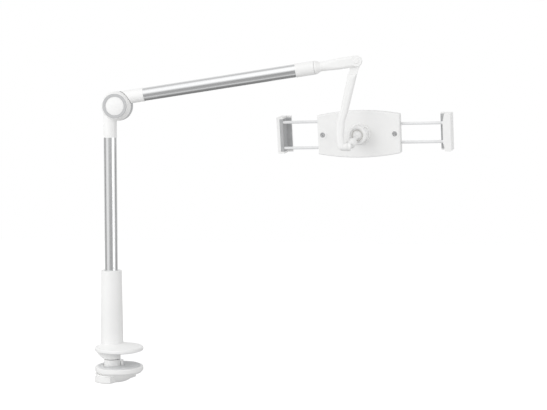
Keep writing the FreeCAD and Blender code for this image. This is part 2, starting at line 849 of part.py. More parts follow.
def elbowFront():
    turned("elbow_trim_ring", [
        ("capRadius + capClearance", "-hubFrontDepth - trimHeight"),
        ("trimRadius - trimBevel", "-hubFrontDepth - trimHeight"),
        ("trimRadius", "-hubFrontDepth - trimHeight + trimBevel"),
        ("trimRadius", "-hubFrontDepth"),
        ("capRadius + capClearance", "-hubFrontDepth"),
    ], elbowAxis)
    headFace = "-elbowHeadFace - elbowHeadHeight"
    turned("elbow_front_cap", [
        ("0", f"{headFace} - capHeadGap"),
        ("capRadius - capSkirt", f"{headFace} - capHeadGap"),
        ("capRadius - capSkirt", "-elbowHeadFace"),
        ("capRadius", "-elbowHeadFace"),
        ("capRadius", "-hubFrontDepth - capHeight / 2", "capDome", -1),
        ("0", "-hubFrontDepth - capHeight - capRise"),
    ], elbowAxis)
    turned("elbow_bolt", [
        ("0", headFace),
        ("elbowHeadRadius", headFace),
        ("elbowHeadRadius", "-elbowHeadFace"),
        ("elbowBoltRadius", "-elbowHeadFace"),
        ("elbowBoltRadius", "elbowThreadEnd - elbowThreadBevel"),
        ("elbowBoltRadius - elbowThreadBevel", "elbowThreadEnd"),
        ("0", "elbowThreadEnd"),
    ], elbowAxis)
    turned("elbow_washer", [
        ("frictionInnerRadius", "-frictionRecess - hubHalfGap"),
        ("frictionOuterRadius", "-frictionRecess - hubHalfGap"),
        ("frictionOuterRadius", "hubHalfGap - runningFit"),
        ("frictionInnerRadius", "hubHalfGap - runningFit"),
    ], elbowAxis)


# Two cupped discs, one turned over on the other, under a six-sided nut
def elbowClampSet():
    inner = "elbowBoltRadius + discHoleClearance"
    foot = "springPocketFloor + runningFit"
    waist = f"{foot} + discCone"
    turned("elbow_springs", [
        (inner, waist),
        ("discRadius", foot),
        ("discRadius", f"{foot} + 2 * discCone + 2 * discThickness"),
        (inner, f"{waist} + 2 * discThickness"),
    ], elbowAxis)
    nut = newBody("elbow_nut")
    top = "elbowThreadEnd"
    corner = "elbowNutRadius"
    add(nut, "XY_Plane", f"{top} - elbowNutHeight", top, outline, [
        (f"{corner} * cos({60 * step})", f"{corner} * sin({60 * step})") for step in range(6)
    ])
    cut(nut, "XY_Plane", f"{top} - elbowNutHeight", top, circle, "0", "0", "elbowBoltRadius")
    keep(nut, elbowAxis)


# The rear half of the elbow, in the upper arm's own frame
def upperKnuckle():
    body = newBody("elbow_upper_knuckle")
    add(body, "YZ_Plane", "0", "upperFittingLength", circle, "0", "tubeOffset", "fittingRadius")
    add(body, "YZ_Plane", "upperFittingLength", "upperFittingLength + stemLength", circle,
        "0", "tubeOffset", "stemRadius")
    cut(body, "XZ_Plane", "-fittingRadius - overcut", "hubHalfGap", circle, "0", "0", "hubRadius + hubRelief")
    add(body, "XZ_Plane", "hubHalfGap", "hubRearDepth", circle, "0", "0", "hubRadius")
    soften(body, "hubRearRound", flatAt("y", "hubRearDepth"))
    cut(body, "XZ_Plane", "springPocketFloor", "hubRearDepth", circle, "0", "0", "springPocketRadius")
    cut(body, "XZ_Plane", "0", "springPocketFloor", circle, "0", "0", "elbowBoltRadius + runningFit")
    keep(body, arm)
    turned("elbow_rear_cap", [
        ("0", "hubRearDepth"),
        ("rearCapRadius", "hubRearDepth"),
        ("rearCapRadius", "hubRearDepth + rearCapHeight / 2"),
        ("rearCapRadius - rearCapHeight / 2", "hubRearDepth + rearCapHeight"),
        ("0", "hubRearDepth + rearCapHeight"),
    ], armAxis)


def upperTube():
    turned("upper_tube", [
        ("tubeBore", "upperFittingLength"),
        ("tubeRadius", "upperFittingLength"),
        ("tubeRadius", "upperTubeEnd"),
        ("tubeBore", "upperTubeEnd"),
    ], armLine)
    coupler = newBody("tube_coupler")
    turn(coupler, [
        ("spindleRadius + runningFit", "stemFoot"),
        ("stemRadius", "stemFoot"),
        ("stemRadius", "upperTubeEnd"),
        ("fittingRadius", "upperTubeEnd"),
        ("fittingRadius", "couplerEnd"),
        ("spindleRadius + runningFit", "couplerEnd"),
    ])
    soften(coupler, "collarRound / 2", ringAt("couplerEnd", "fittingRadius"))
    keep(coupler, armLine)


# The first wrist link turns in the coupler and ends in a fork
def wristLink():
    body = newBody("wrist_link")
    clipFar = "stemFoot - spindleClipGap"
    clipNear = f"{clipFar} - spindleClipThickness"
    turn(body, [
        ("0", f"{clipNear} - spindleTail"),
        ("spindleRadius", f"{clipNear} - spindleTail"),
        ("spindleRadius", f"{clipNear} - grooveClearance"),
        ("spindleGrooveRadius", f"{clipNear} - grooveClearance"),
        ("spindleGrooveRadius", f"{clipFar} + grooveClearance"),
        ("spindleRadius", f"{clipFar} + grooveClearance"),
        ("spindleRadius", "spindleStart"),
        ("wristRadius", "spindleStart"),
        ("wristRadius", "spindleStart + wristCollarLength"),
        ("wristNeckRadius", "spindleStart + wristNeckStart"),
        ("wristNeckRadius", "spindleStart + wristNeckEnd"),
        ("0", "spindleStart + wristNeckEnd"),
    ])
    start = sketchOn(body, "XY_Plane", "spindleStart + wristNeckEnd")
    across = "2 * wristNeckRadius"
    softRectangle(start, "0", "0", across, across, "(wristNeckRadius - wristNeckFlat)")
    end = sketchOn(body, "XY_Plane", "spindleStart + wristBodyStart")
    softRectangle(end, "0", "0", "wristHeight", "wristWidth", "wristCorner")
    flare = body.newObject("PartDesign::AdditiveLoft", "WristFlare")
    flare.Profile = start
    flare.Sections = [end]
    doc.recompute()
    add(body, "XY_Plane", "spindleStart + wristBodyStart", "wristEnd", softRectangle,
        "0", "0", "wristHeight", "wristWidth", "wristCorner")
    add(body, "XZ_Plane", "-wristWidth / 2", "wristWidth / 2", circle, "0", "wristEnd", "wristHeight / 2")
    cut(body, "XZ_Plane", "-forkSlotWidth / 2", "forkSlotWidth / 2", rectangle,
        "0", "wristEnd", "wristHeight + 2 * overcut", "2 * forkSlotDepth")
    cut(body, "XZ_Plane", "-wristWidth / 2", "wristWidth / 2", circle, "0", "wristEnd", "hingePinRadius")
    keep(body, armLine)
    turned("spindle_clip", [
        ("spindleGrooveRadius", clipNear),
        ("spindleClipRadius", clipNear),
        ("spindleClipRadius", clipFar),
        ("spindleGrooveRadius", clipFar),
    ], armLine)
    halfPin = "wristWidth / 2"
    turned("wrist_pin", [
        ("0", f"-{halfPin} - hingeHeadHeight"),
        ("hingeHeadRadius - hingeHeadBevel", f"-{halfPin} - hingeHeadHeight"),
        ("hingeHeadRadius", f"-{halfPin}"),
        ("hingePinRadius", f"-{halfPin}"),
        ("hingePinRadius", halfPin),
        ("hingeHeadRadius", halfPin),
        ("hingeHeadRadius - hingeHeadBevel", f"{halfPin} + hingeHeadHeight"),
        ("0", f"{halfPin} + hingeHeadHeight"),
    ], Placement(foldHinge.Base, arm.Rotation * alongY))


# The second wrist link hangs from the fork and bends a little above its lower hinge
def dropLink():
    body = newBody("drop_link")
    add(body, "XZ_Plane", "-dropWidth / 2", "dropWidth / 2", outline, [
        ("-dropShoulderX - dropTopWidth / 2", "-dropShoulderZ"),
        ("-dropWaistX - dropWaistWidth / 2", "-dropWaistZ"),
        ("-dropBendX - dropBendWidth / 2", "-dropBendZ"),
        ("-dropFootX - dropFootWidth / 2", "-dropFootZ"),
        ("-dropEndX - dropEndWidth / 2", "-dropEndZ", "dropEndCurve"),
        ("-dropEndX + dropEndWidth / 2", "-dropEndZ"),
        ("-dropFootX + dropFootWidth / 2", "-dropFootZ"),
        ("-dropBendX + dropBendWidth / 2", "-dropBendZ"),
        ("-dropWaistX + dropWaistWidth / 2", "-dropWaistZ"),
        ("-dropShoulderX + dropTopWidth / 2", "-dropShoulderZ"),
    ])
    soften(body, "dropRound", flatAt("y", "-dropWidth / 2", "dropWidth / 2"))
    add(body, "XZ_Plane", "-tongueThickness / 2", "tongueThickness / 2", circle, "0", "0", "tongueRadius")
    add(body, "XZ_Plane", "-tongueThickness / 2", "tongueThickness / 2", outline, [
        ("-tongueRadius", "0"),
        ("-dropShoulderX - dropTopWidth / 2 + tongueLap", "-dropShoulderZ - tongueLap"),
        ("-dropShoulderX + dropTopWidth / 2 - tongueLap", "-dropShoulderZ - tongueLap"),
        ("tongueRadius", "0"),
    ])
    cut(body, "XZ_Plane", "-tongueThickness / 2", "tongueThickness / 2", circle,
        "0", "0", "hingePinRadius + runningFit")
    bossEnd = "-dropEndX + dropEndWidth / 2 + studBossDepth"
    add(body, "YZ_Plane", "-dropEndX", bossEnd, circle, "0", "-dropEndZ", "studBossRadius")
    cut(body, "YZ_Plane", "-dropEndX - dropEndWidth / 2 + studPinCover", bossEnd, circle,
        "0", "-dropEndZ", "studPinRadius")
    keep(body, foldHinge)
    pinFoot = "-dropEndWidth / 2 + studPinCover"
    pinEnd = "knuckleFoot + knuckleWidth"
    turned("stud_pin", [
        ("0", pinFoot),
        ("studPinRadius", pinFoot),
        ("studPinRadius", f"{pinEnd} + grooveClearance"),
        ("studPinRadius + studHeadReach", f"{pinEnd} + grooveClearance"),
        ("studPinRadius + studHeadReach / 2", f"{pinEnd} + grooveClearance + studHeadHeight"),
        ("0", f"{pinEnd} + grooveClearance + studHeadHeight"),
    ], dropHinge * Placement(Vector(), alongX))


# The ball on its slanting neck, which swings beside the link's lower end
def ballStud():
    ballCentre = point("ballAside", "ballDepth", "ballRise")
    middle = point("knuckleMiddle", "0", "0")
    knuckleFrame = Placement(point("knuckleFoot", "0", "0"), alongX)
    knuckle = primitive("Cylinder", knuckleFrame, Radius="knuckleRadius", Height="knuckleWidth")
    neck = newBody("StudNeck")
    turn(neck, [
        ("0", "neckFootReach"),
        ("neckFootRadius", "neckFootReach"),
        ("neckStepRadius", "neckStepReach"),
        ("neckBodyRadius", "neckBodyReach"),
        ("neckBodyRadius", "neckReach - neckBodyEnd"),
        ("neckTipRadius", "neckReach - neckTipEnd"),
        ("neckTipRadius", "neckReach"),
        ("0", "neckReach"),
    ])
    neck.Placement = Placement(middle, Rotation(Vector(0, 0, 1), ballCentre - middle))
    ball = primitive("Sphere", Placement(ballCentre, neck.Placement.Rotation), Radius="ballRadius")
    hole = primitive("Cylinder", knuckleFrame, Radius="studPinRadius + runningFit", Height="knuckleWidth")
    headFrame = Placement(point("knuckleFoot + knuckleWidth", "0", "0"), alongX)
    headRoom = primitive("Cylinder", headFrame, Radius="studPinRadius + studHeadReach + studHeadClearance",
                         Height="knuckleRadius + neckBodyRadius")
    whole = joined("StudBody", "Part::MultiFuse", [knuckle, neck, ball])
    bores = joined("StudBores", "Part::MultiFuse", [hole, headRoom])
    keep(joined("ball_stud", "Part::Cut", [whole, bores]), dropHinge)


# The shells round the ball, in the holder's frame: Y points from the ball to the device
def ballShells():
    mouth, end = "mouthAngle", "linerEndAngle"
    inner = "ballRadius + ballFit"
    turned("ball_liner", [
        (f"({inner}) * sin({mouth})", f"-({inner}) * cos({mouth})"),
        (f"linerRadius * sin({mouth})", f"-linerRadius * cos({mouth})", "linerRadius"),
        (f"linerRadius * sin({end})", f"-linerRadius * cos({end})"),
        (f"({inner}) * sin({end})", f"-({inner}) * cos({end})", inner, -1),
    ], holderAxis)
    seat = "linerRadius + ballFit"
    turned("ball_collet", [
        (f"({seat}) * sin({mouth})", f"-({seat}) * cos({mouth})"),
        ("colletMouthRadius", "-colletFront"),
        ("colletRadius", "-colletFront"),
        ("colletRadius", "-colletFront + colletLength"),
        ("0", "-colletFront + colletLength"),
        ("0", seat, seat, -1),
    ], holderAxis)


def socketBase():
    body = newBody("socket_base")
    turn(body, [
        ("0", "baseFloor"),
        ("colletRadius + runningFit", "baseFloor"),
        ("colletRadius + runningFit", "baseNeckFront"),
        ("baseNeckRadius", "baseNeckFront"),
        ("baseNeckRadius", "plateBack - baseFlangeHeight"),
        ("baseFlangeRadius", "plateBack - baseFlangeHeight"),
        ("baseFlangeRadius", "plateBack"),
        ("0", "plateBack"),
    ])
    soften(body, "baseFlangeRound", ringAt("plateBack - baseFlangeHeight", "baseFlangeRadius"))
    keep(body, holderAxis)


# The nut that squeezes the collet, with finger lobes all round
def lockNut():
    body = newBody("lock_nut")
    back = "plateBack - baseFlangeHeight - lockNutGap"
    turn(body, [
        ("lockNutMouthRadius", "-lockNutFront"),
        ("lockNutRadius", "-lockNutFront"),
        ("lockNutRadius", back),
        ("baseNeckRadius + runningFit", back),
        ("baseNeckRadius + runningFit", "baseNeckFront - colletGap"),
        ("colletRadius + colletGap", "baseNeckFront - colletGap"),
        ("colletRadius + colletGap", "-lockNutFront + lockNutLip"),
        ("lockNutMouthRadius", "-lockNutFront + lockNutLip"),
    ])
    soften(body, "lockNutRound", ringAt("-lockNutFront", "lockNutRadius"))
    groove = cut(body, "XY_Plane", "-lockNutFront", back, circle,
                 "lockNutRadius + lobeRadius - lobeInset", "0", "lobeRadius")
    lobes = body.newObject("PartDesign::PolarPattern", "Lobes")
    lobes.Originals = [groove]
    axis = next(each for each in body.Origin.OriginFeatures if each.Role == "Z_Axis")
    lobes.Axis = (axis, [""])
    lobes.Angle = 360
    lobes.setExpression("Occurrences", bound("lobeCount"))
    body.Tip = lobes
    keep(body, holderAxis)


# The plate's outline: straight ends, with top and bottom edges that bow out
def plateOutline(sketch, inset):
    width = f"(plateWidth / 2 - {inset})"
    end = f"(plateEndHeight / 2 - {inset})"
    rise = "((plateHeight - plateEndHeight) / 2)"
    bow = f"({width}^2 / (2 * {rise}) + {rise} / 2)"
    outline(sketch, [
        (f"-plateShift - {width}", f"-plateDrop - {end}", bow),
        (f"-plateShift + {width}", f"-plateDrop - {end}"),
        (f"-plateShift + {width}", f"-plateDrop + {end}", bow),
        (f"-plateShift - {width}", f"-plateDrop + {end}"),
    ])


def screwSpots(sketch, radius):
    for side in ("-", "+"):
        circle(sketch, f"-plateShift {side} coverScrewSpacing / 2", "-plateDrop", radius)


def wireSpots(sketch, layer, spacing, radius):
    for side in ("-", "+"):
        circle(sketch, layer, f"-plateDrop {side} {spacing} / 2", radius)


def standing(edge):
    ends = [vertex.Point for vertex in edge.Vertexes]
    return len(ends) == 2 and abs(ends[0].y - ends[1].y) > 1 and abs(ends[0].x - ends[1].x) < 0.01


# The two shells close on each other; the left frame runs in the back one and the right frame in the front one
def holderShells():
    back = newBody("holder_back")
    add(back, "XZ_Plane", "plateBack", "plateSplit", plateOutline, "0")
    soften(back, "plateCorner", standing)
    soften(back, "plateRound", flatAt("y", "plateBack"))
    cut(back, "XZ_Plane", "plateBack + plateWall", "plateSplit", plateOutline, "plateWall")
    add(back, "XZ_Plane", "plateBack - coverBossRise", "plateBack + plateWall", screwSpots, "coverBossRadius")
    add(back, "XZ_Plane", "plateBack + plateWall", "plateSplit", screwSpots, "coverPostRadius")
    cut(back, "XZ_Plane", "plateBack - coverBossRise", "plateBack - coverBossRise + coverHeadHeight",
        screwSpots, "coverHeadRadius + coverHoleClearance")
    cut(back, "XZ_Plane", "plateBack", "plateSplit", screwSpots, "coverScrewRadius + coverHoleClearance")
    cut(back, "YZ_Plane", "plateLeft", "plateLeft + plateWall + grooveClearance", wireSpots,
        "leftLayer", "leftSpacing", "wireRadius + wireFit")
    keep(back, holder)
    front = newBody("holder_front")
    add(front, "XZ_Plane", "plateSplit", "plateFront", plateOutline, "0")
    soften(front, "plateCorner", standing)
    soften(front, "plateRound", flatAt("y", "plateFront"))
    cut(front, "XZ_Plane", "plateSplit", "plateFront - plateWall", plateOutline, "plateWall")
    add(front, "XZ_Plane", "plateSplit", "plateFront - plateWall", screwSpots, "coverPostRadius")
    cut(front, "XZ_Plane", "plateSplit", "plateBack - coverBossRise + coverHeadHeight + coverScrewLength",
        screwSpots, "coverScrewRadius")
    cut(front, "YZ_Plane", "plateRight - plateWall - grooveClearance", "plateRight", wireSpots,
        "rightLayer", "rightSpacing", "wireRadius + wireFit")
    keep(front, holder)


def coverScrews():
    screws = newBody("cover_screws")
    head = "plateBack - coverBossRise"
    add(screws, "XZ_Plane", head, f"{head} + coverHeadHeight", screwSpots, "coverHeadRadius")
    add(screws, "XZ_Plane", f"{head} + coverHeadHeight", f"{head} + coverHeadHeight + coverScrewLength",
        screwSpots, "coverScrewRadius")
    keep(screws, holder)


def holderPads():
    pads = newBody("holder_pads")
    add(pads, "XZ_Plane", "plateFront", "plateFront + holderPadThickness", padPair)
    keep(pads, holder)


def padPair(sketch):
    for side in ("-", "+"):
        softRectangle(sketch, f"(-plateShift {side} holderPadSpacing / 2)", "-plateDrop",
                      "holderPadWidth", "holderPadHeight", "holderPadCorner")


# A bent wire frame: two rods joined by a cross bar inside the plate, with their free ends in the claw
def wireFrame(label, layer, spacing, bar, tip):
    away = 1 if value(tip) > value(bar) else -1
    high, low = value(f"-plateDrop + {spacing} / 2"), value(f"-plateDrop - {spacing} / 2")
    depth, bend = value(layer), value("wireBend")
    start, end = value(tip), value(bar)
    corner = bend * (1 - math.sqrt(0.5))
    path = [
        Part.LineSegment(Vector(start, depth, high), Vector(end + away * bend, depth, high)),
        Part.Arc(Vector(end + away * bend, depth, high), Vector(end + away * corner, depth, high - corner),
                 Vector(end, depth, high - bend)),
        Part.LineSegment(Vector(end, depth, high - bend), Vector(end, depth, low + bend)),
        Part.Arc(Vector(end, depth, low + bend), Vector(end + away * corner, depth, low + corner),
                 Vector(end + away * bend, depth, low)),
        Part.LineSegment(Vector(end + away * bend, depth, low), Vector(start, depth, low)),
    ]
    spine = Part.Wire([piece.toShape() for piece in path])
    rim = Part.Circle(Vector(start, depth, high), Vector(1, 0, 0), value("wireRadius"))
    section = Part.Wire(rim.toShape())
    frame = doc.addObject("Part::Feature", label)
    frame.Label = label
    frame.Shape = spine.makePipeShell([section], True, False)
    keep(frame, holder)


# The springs on the rods, pressed between the plate's end wall and the frame's cross bar
def frameSprings(label, layer, spacing, bar, wall):
    springs = newBody(label)
    inner = "wireRadius + springFit"
    low, high = sorted((bar, wall), key=value)
    for radius, work in ((f"{inner} + springWire", add), (inner, cut)):
        work(springs, "YZ_Plane", low, high, wireSpots, layer, spacing, radius)
    keep(springs, holder)


# The left claw: a thin wall with a lip in front and a flange at each end, round a soft block
def leftClaw():
    wallInner = "leftWallOuter + leftWallThickness"
    lipBack = "deviceFront + deviceGap + clawLining"
    body = newBody("left_claw")
    add(body, "XZ_Plane", "leftWallBack", f"{lipBack} + lipThickness", rectangle,
        "leftWallOuter + leftWallThickness / 2", "-plateDrop", "leftWallThickness", "leftClawHeight")
    soften(body, "clawRound", flatAt("x", "leftWallOuter"))
    add(body, "XZ_Plane", lipBack, f"{lipBack} + lipThickness", rectangle,
        f"{wallInner} + leftLipReach / 2", "-plateDrop", "leftLipReach", "leftClawHeight")
    for side in ("-", "+"):
        add(body, "XZ_Plane", "leftWallBack", lipBack, rectangle, f"{wallInner} + leftLining / 2",
            f"-plateDrop {side} (leftClawHeight - leftEndThickness) / 2", "leftLining", "leftEndThickness")
    cut(body, "YZ_Plane", "leftWallOuter + rodSkin", wallInner, wireSpots,
        "leftLayer", "leftSpacing", "wireRadius")
    keep(body, holder)
    lining = newBody("left_claw_pad")
    half = "(leftClawHeight / 2 - leftEndThickness)"
    add(lining, "XY_Plane", f"-plateDrop - {half}", f"-plateDrop + {half}", outline, [
        (wallInner, "leftWallBack"),
        (f"{wallInner} + leftLining", "leftWallBack"),
        (f"{wallInner} + leftLining", f"{lipBack} - clawLining"),
        (f"{wallInner} + leftLipReach", f"{lipBack} - clawLining"),
        (f"{wallInner} + leftLipReach", lipBack),
        (wallInner, lipBack),
    ])
    cut(lining, "YZ_Plane", wallInner, f"{wallInner} + leftLining", wireSpots,
        "leftLayer", "leftSpacing", "wireRadius")
    keep(lining, holder)


# The right claw: a deep block that narrows towards the plate, with the device's groove in front
def rightClaw():
    wallInner = "rightWallOuter - rightWallThickness"
    lipBack = "deviceFront + deviceGap + clawLining"
    blockInner = "deviceRight - deviceGap - rightBlockReach"
    body = newBody("right_claw")
    middle = "-plateDrop"
    add(body, "XZ_Plane", "rightClawBack", f"{lipBack} + lipThickness", rectangle,
        "rightWallOuter - rightWallThickness / 2", middle, "rightWallThickness", "rightClawHeight")
    soften(body, "clawRound", flatAt("x", "rightWallOuter"))
    add(body, "XZ_Plane", "rightClawBack", "deviceBack - deviceGap - clawLining", outline, [
        (blockInner, f"{middle} - rightClawTopHeight / 2"),
        (f"{blockInner} + rightShoulder", f"{middle} - rightClawHeight / 2"),
        (wallInner, f"{middle} - rightClawHeight / 2"),
        (wallInner, f"{middle} + rightClawHeight / 2"),
        (f"{blockInner} + rightShoulder", f"{middle} + rightClawHeight / 2"),
        (blockInner, f"{middle} + rightClawTopHeight / 2"),
    ])
    add(body, "XZ_Plane", lipBack, f"{lipBack} + lipThickness", rectangle,
        f"{wallInner} - rightLipReach / 2", middle, "rightLipReach", "rightClawHeight")
    cut(body, "YZ_Plane", blockInner, "rightWallOuter - rodSkin", wireSpots,
        "rightLayer", "rightSpacing", "wireRadius")
    keep(body, holder)
    lining = newBody("right_claw_pad")
    half = "(rightClawHeight / 2 - liningInset)"
    add(lining, "XY_Plane", f"{middle} - {half}", f"{middle} + {half}", outline, [
        (wallInner, "deviceBack - deviceGap - clawLining"),
        (wallInner, lipBack),
        (f"{wallInner} - rightLipReach", lipBack),
        (f"{wallInner} - rightLipReach", f"{lipBack} - clawLining"),
        (f"{wallInner} - clawLining", f"{lipBack} - clawLining"),
        (f"{wallInner} - clawLining", "deviceBack - deviceGap - clawLining"),
    ])
    keep(lining, holder)


clampPads()
upperJaw()
columnSleeve()
lowerJaw()
clampScrew()
clampKnob()
lowerTube()
lowerKnuckle()
elbowFront()
elbowClampSet()
upperKnuckle()
upperTube()
wristLink()
dropLink()
ballStud()
ballShells()
socketBase()
lockNut()
holderShells()
coverScrews()
holderPads()
wireFrame("left_rods", "leftLayer", "leftSpacing", "leftBar", "leftWallOuter + rodSkin")
wireFrame("right_rods", "rightLayer", "rightSpacing", "rightBar", "rightWallOuter - rodSkin")
frameSprings("left_springs", "leftLayer", "leftSpacing", "leftBar - wireBend",
             "plateLeft + plateWall + springPark")
frameSprings("right_springs", "rightLayer", "rightSpacing", "rightBar + wireBend",
             "plateRight - plateWall - springPark")
leftClaw()
rightClaw()
doc.recompute()

for piece in doc.Objects:
    if "Invalid" in piece.State or "Error" in piece.State:
        raise ValueError(piece.Label + " failed: " + str(piece.State))
for node in nodes:
    shape = node.Shape
    if shape.isNull() or not shape.isValid():
        raise ValueError(node.Label + " has no valid shape")
    shape.exportStep(os.path.join("parts", node.Label + ".step"))

# Where the joints are, in the part's own frame
for name, frame, axis in (
    ("knob", screwLine, Vector(0, 0, -1)),
    ("pole", column, Vector(0, 0, 1)),
    ("elbow", elbow, Vector(0, -1, 0)),
    ("wrist roll", armLine, Vector(0, 0, 1)),
    ("wrist fold", foldHinge, Vector(0, -1, 0)),
    ("stud", dropHinge, Vector(1, 0, 0)),
    ("ball tilt", holder, Vector(1, 0, 0)),
    ("ball pan", holder, Vector(0, 0, 1)),
    ("ball roll", holder, Vector(0, 1, 0)),
):
    line = frame.Rotation.multVec(axis)
    print(name, [round(number, 5) for number in frame.Base], [round(number, 7) for number in line])
print(len(nodes), "nodes")
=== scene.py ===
import json
import math

import bmesh
import bpy
from mathutils import Matrix, Vector


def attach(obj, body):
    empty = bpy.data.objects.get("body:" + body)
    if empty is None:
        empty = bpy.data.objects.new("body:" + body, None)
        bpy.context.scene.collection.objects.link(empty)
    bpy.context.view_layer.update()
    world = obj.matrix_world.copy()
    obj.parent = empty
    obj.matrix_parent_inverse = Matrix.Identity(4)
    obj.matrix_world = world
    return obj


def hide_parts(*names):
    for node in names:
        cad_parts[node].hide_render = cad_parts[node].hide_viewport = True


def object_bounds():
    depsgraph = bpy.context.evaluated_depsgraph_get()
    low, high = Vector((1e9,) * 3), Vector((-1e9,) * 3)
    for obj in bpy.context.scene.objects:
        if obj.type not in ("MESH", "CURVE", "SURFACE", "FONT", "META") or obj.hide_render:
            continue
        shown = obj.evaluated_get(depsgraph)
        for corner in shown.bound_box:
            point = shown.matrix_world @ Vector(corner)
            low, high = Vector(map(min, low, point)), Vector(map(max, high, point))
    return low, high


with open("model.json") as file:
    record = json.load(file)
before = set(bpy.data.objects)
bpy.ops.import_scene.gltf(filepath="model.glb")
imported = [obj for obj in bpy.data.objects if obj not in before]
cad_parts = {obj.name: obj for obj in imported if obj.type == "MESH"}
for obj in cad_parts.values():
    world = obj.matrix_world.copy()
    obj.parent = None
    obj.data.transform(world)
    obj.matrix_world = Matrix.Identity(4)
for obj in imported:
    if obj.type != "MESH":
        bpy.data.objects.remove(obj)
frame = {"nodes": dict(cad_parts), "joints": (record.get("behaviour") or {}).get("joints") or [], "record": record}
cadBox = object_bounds()
nodes = frame["nodes"]
joints = {joint["name"]: joint for joint in frame["joints"]}
bodyOf = {name: body for body, names in frame["record"]["behaviour"]["bodies"].items() for name in names}
print("frame loaded with", len(nodes), "nodes")

# Camera: level horizon, slightly right of square and a little above
camera = {
    "place": (0.4681, -1.9915, 0.3869),
    "azimuth": math.radians(6.5),
    "pitch": math.radians(4.5),
    "sensor": 36.0,
    "focal": 1324,  # in pixels of the picture
    "width": 547,
}


def setCamera():
    data = bpy.data.cameras.new("camera")
    data.sensor_width = camera["sensor"]
    data.lens = camera["focal"] / camera["width"] * camera["sensor"]
    made = bpy.data.objects.new("camera", data)
    turn = Matrix.Rotation(camera["azimuth"], 4, "Z")
    tilt = Matrix.Rotation(math.pi / 2 - camera["pitch"], 4, "X")
    made.matrix_world = Matrix.Translation(camera["place"]) @ turn @ tilt
    bpy.context.scene.collection.objects.link(made)
    bpy.context.scene.camera = made


setCamera()
print("camera set")

# The holder's own frame: x along the wires, y from the ball to the device, z up
ball = Vector(joints["ball_tilt"]["pos_m"])
wireLine = Vector(joints["ball_tilt"]["axis"]).normalized()
faceLine = Vector(joints["holder_turn"]["axis"]).normalized()
upLine = Vector(joints["ball_pan"]["axis"]).normalized()
armLine = Vector(joints["wrist_roll"]["axis"]).normalized()
holderFrame = Matrix.Translation(ball) @ Matrix((wireLine, faceLine, upLine)).transposed().to_4x4()


# Shader maths: an expression on Shade values adds its Math nodes
class Shade:
    def __init__(self, tree, socket):
        self.tree = tree
        self.socket = socket

    def node(self, kind, settings=None, values=None, output=0):
        made = self.tree.nodes.new(kind)
        for name, setting in (settings or {}).items():
            if name == "stops":
                fillRamp(made.color_ramp, setting)
            else:
                setattr(made, name, setting)
        for name, value in (values or {}).items():
            feed(self.tree, made.inputs[name], value)
        return Shade(self.tree, made.outputs[output])

    def maths(self, operation, first, second):
        return self.node("ShaderNodeMath", {"operation": operation}, {0: first, 1: second})

    def __add__(self, other):
        return self.maths("ADD", self, other)

    def __sub__(self, other):
        return self.maths("SUBTRACT", self, other)

    def __rsub__(self, other):
        return self.maths("SUBTRACT", other, self)

    def __mul__(self, other):
        return self.maths("MULTIPLY", self, other)

    def __abs__(self):
        return self.maths("ABSOLUTE", self, 0.0)

    __radd__ = __add__
    __rmul__ = __mul__


def feed(tree, socket, value):
    if isinstance(value, Shade):
        tree.links.new(value.socket, socket)
    else:
        socket.default_value = value


def fillRamp(ramp, stops):
    for position, level in stops[1:-1]:
        ramp.elements.new(position)
    for element, (position, level) in zip(ramp.elements, stops):
        element.position = position
        element.color = (level, level, level, 1)


# A Mix node's colour sockets share their names with others, so they go by number
mixSocket = {"share": 0, "low": 6, "high": 7, "result": 2}


def blend(low, high, share):
    values = {mixSocket["share"]: share, mixSocket["low"]: low, mixSocket["high"]: high}
    return share.node("ShaderNodeMix", {"data_type": "RGBA"}, values, mixSocket["result"])


# Maps low to high onto start to end, and holds the ends
def stretch(value, low, high, start, end):
    values = {"Value": value, "From Min": low, "From Max": high, "To Min": start, "To Max": end}
    return value.node("ShaderNodeMapRange", {}, values)


def grain(place, scale, detail=2.0, rough=0.5):
    values = {"Vector": place, "Scale": scale, "Detail": detail, "Roughness": rough}
    return place.node("ShaderNodeTexNoise", {}, values)


def bump(height, distance, below=None):
    values = {"Height": height, "Distance": distance, "Strength": 1.0}
    if below:
        values["Normal"] = below
    return height.node("ShaderNodeBump", {}, values)


# A level that moves with grains, each of which is 0.5 on average
def waver(level, *shares):
    for noise, share in shares:
        level = level + (noise - 0.5) * share
    return level


def dimmed(tone, share):
    return tuple(channel * share for channel in tone[:3]) + (1,)


# How far a place lies along a line, in metres
def along(place, line):
    values = {0: place, 1: tuple(line)}
    return place.node("ShaderNodeVectorMath", {"operation": "DOT_PRODUCT"}, values, "Value")


# How far a place lies from the origin, on the chosen axes alone
def distance(place, axes=(1, 1, 1)):
    flat = place.node("ShaderNodeVectorMath", {"operation": "MULTIPLY"}, {0: place, 1: axes})
    return place.node("ShaderNodeVectorMath", {"operation": "LENGTH"}, {0: flat}, "Value")


# 1 inside a thin band, where two shells meet, and 0 elsewhere
def seam(place, line, offset, width):
    return stretch(abs(along(place, line) - offset), width / 2, width, 1.0, 0.0)


# 1 on the outer wall of a hub that lies across y, from one depth on, and 0 elsewhere: where painted shade goes
def shadedRimMask(place, rim):
    offset = place.node("ShaderNodeVectorMath", {"operation": "SUBTRACT"}, {0: place, 1: rim["centre"]})
    wall = abs(distance(offset, (1, 0, 1)) - rim["radius"])
    return stretch(wall, *rim["skin"], 1.0, 0.0) * stretch(along(place, (0, 1, 0)), *rim["depth"], 0.0, 1.0)


def newMaterial(name, fixed):
    made = bpy.data.materials.new(name)
    made.use_nodes = True
    shader = made.node_tree.nodes["Principled BSDF"]
    for socket, value in fixed.items():
        shader.inputs[socket].default_value = value
    base = Shade(made.node_tree, shader.inputs["Base Color"])
    place = base.node("ShaderNodeTexCoord", output="Object")
    return made, shader, place


def connect(shader, place, **values):
    for name, value in values.items():
        feed(place.tree, shader.inputs[name.replace("_", " ")], value)


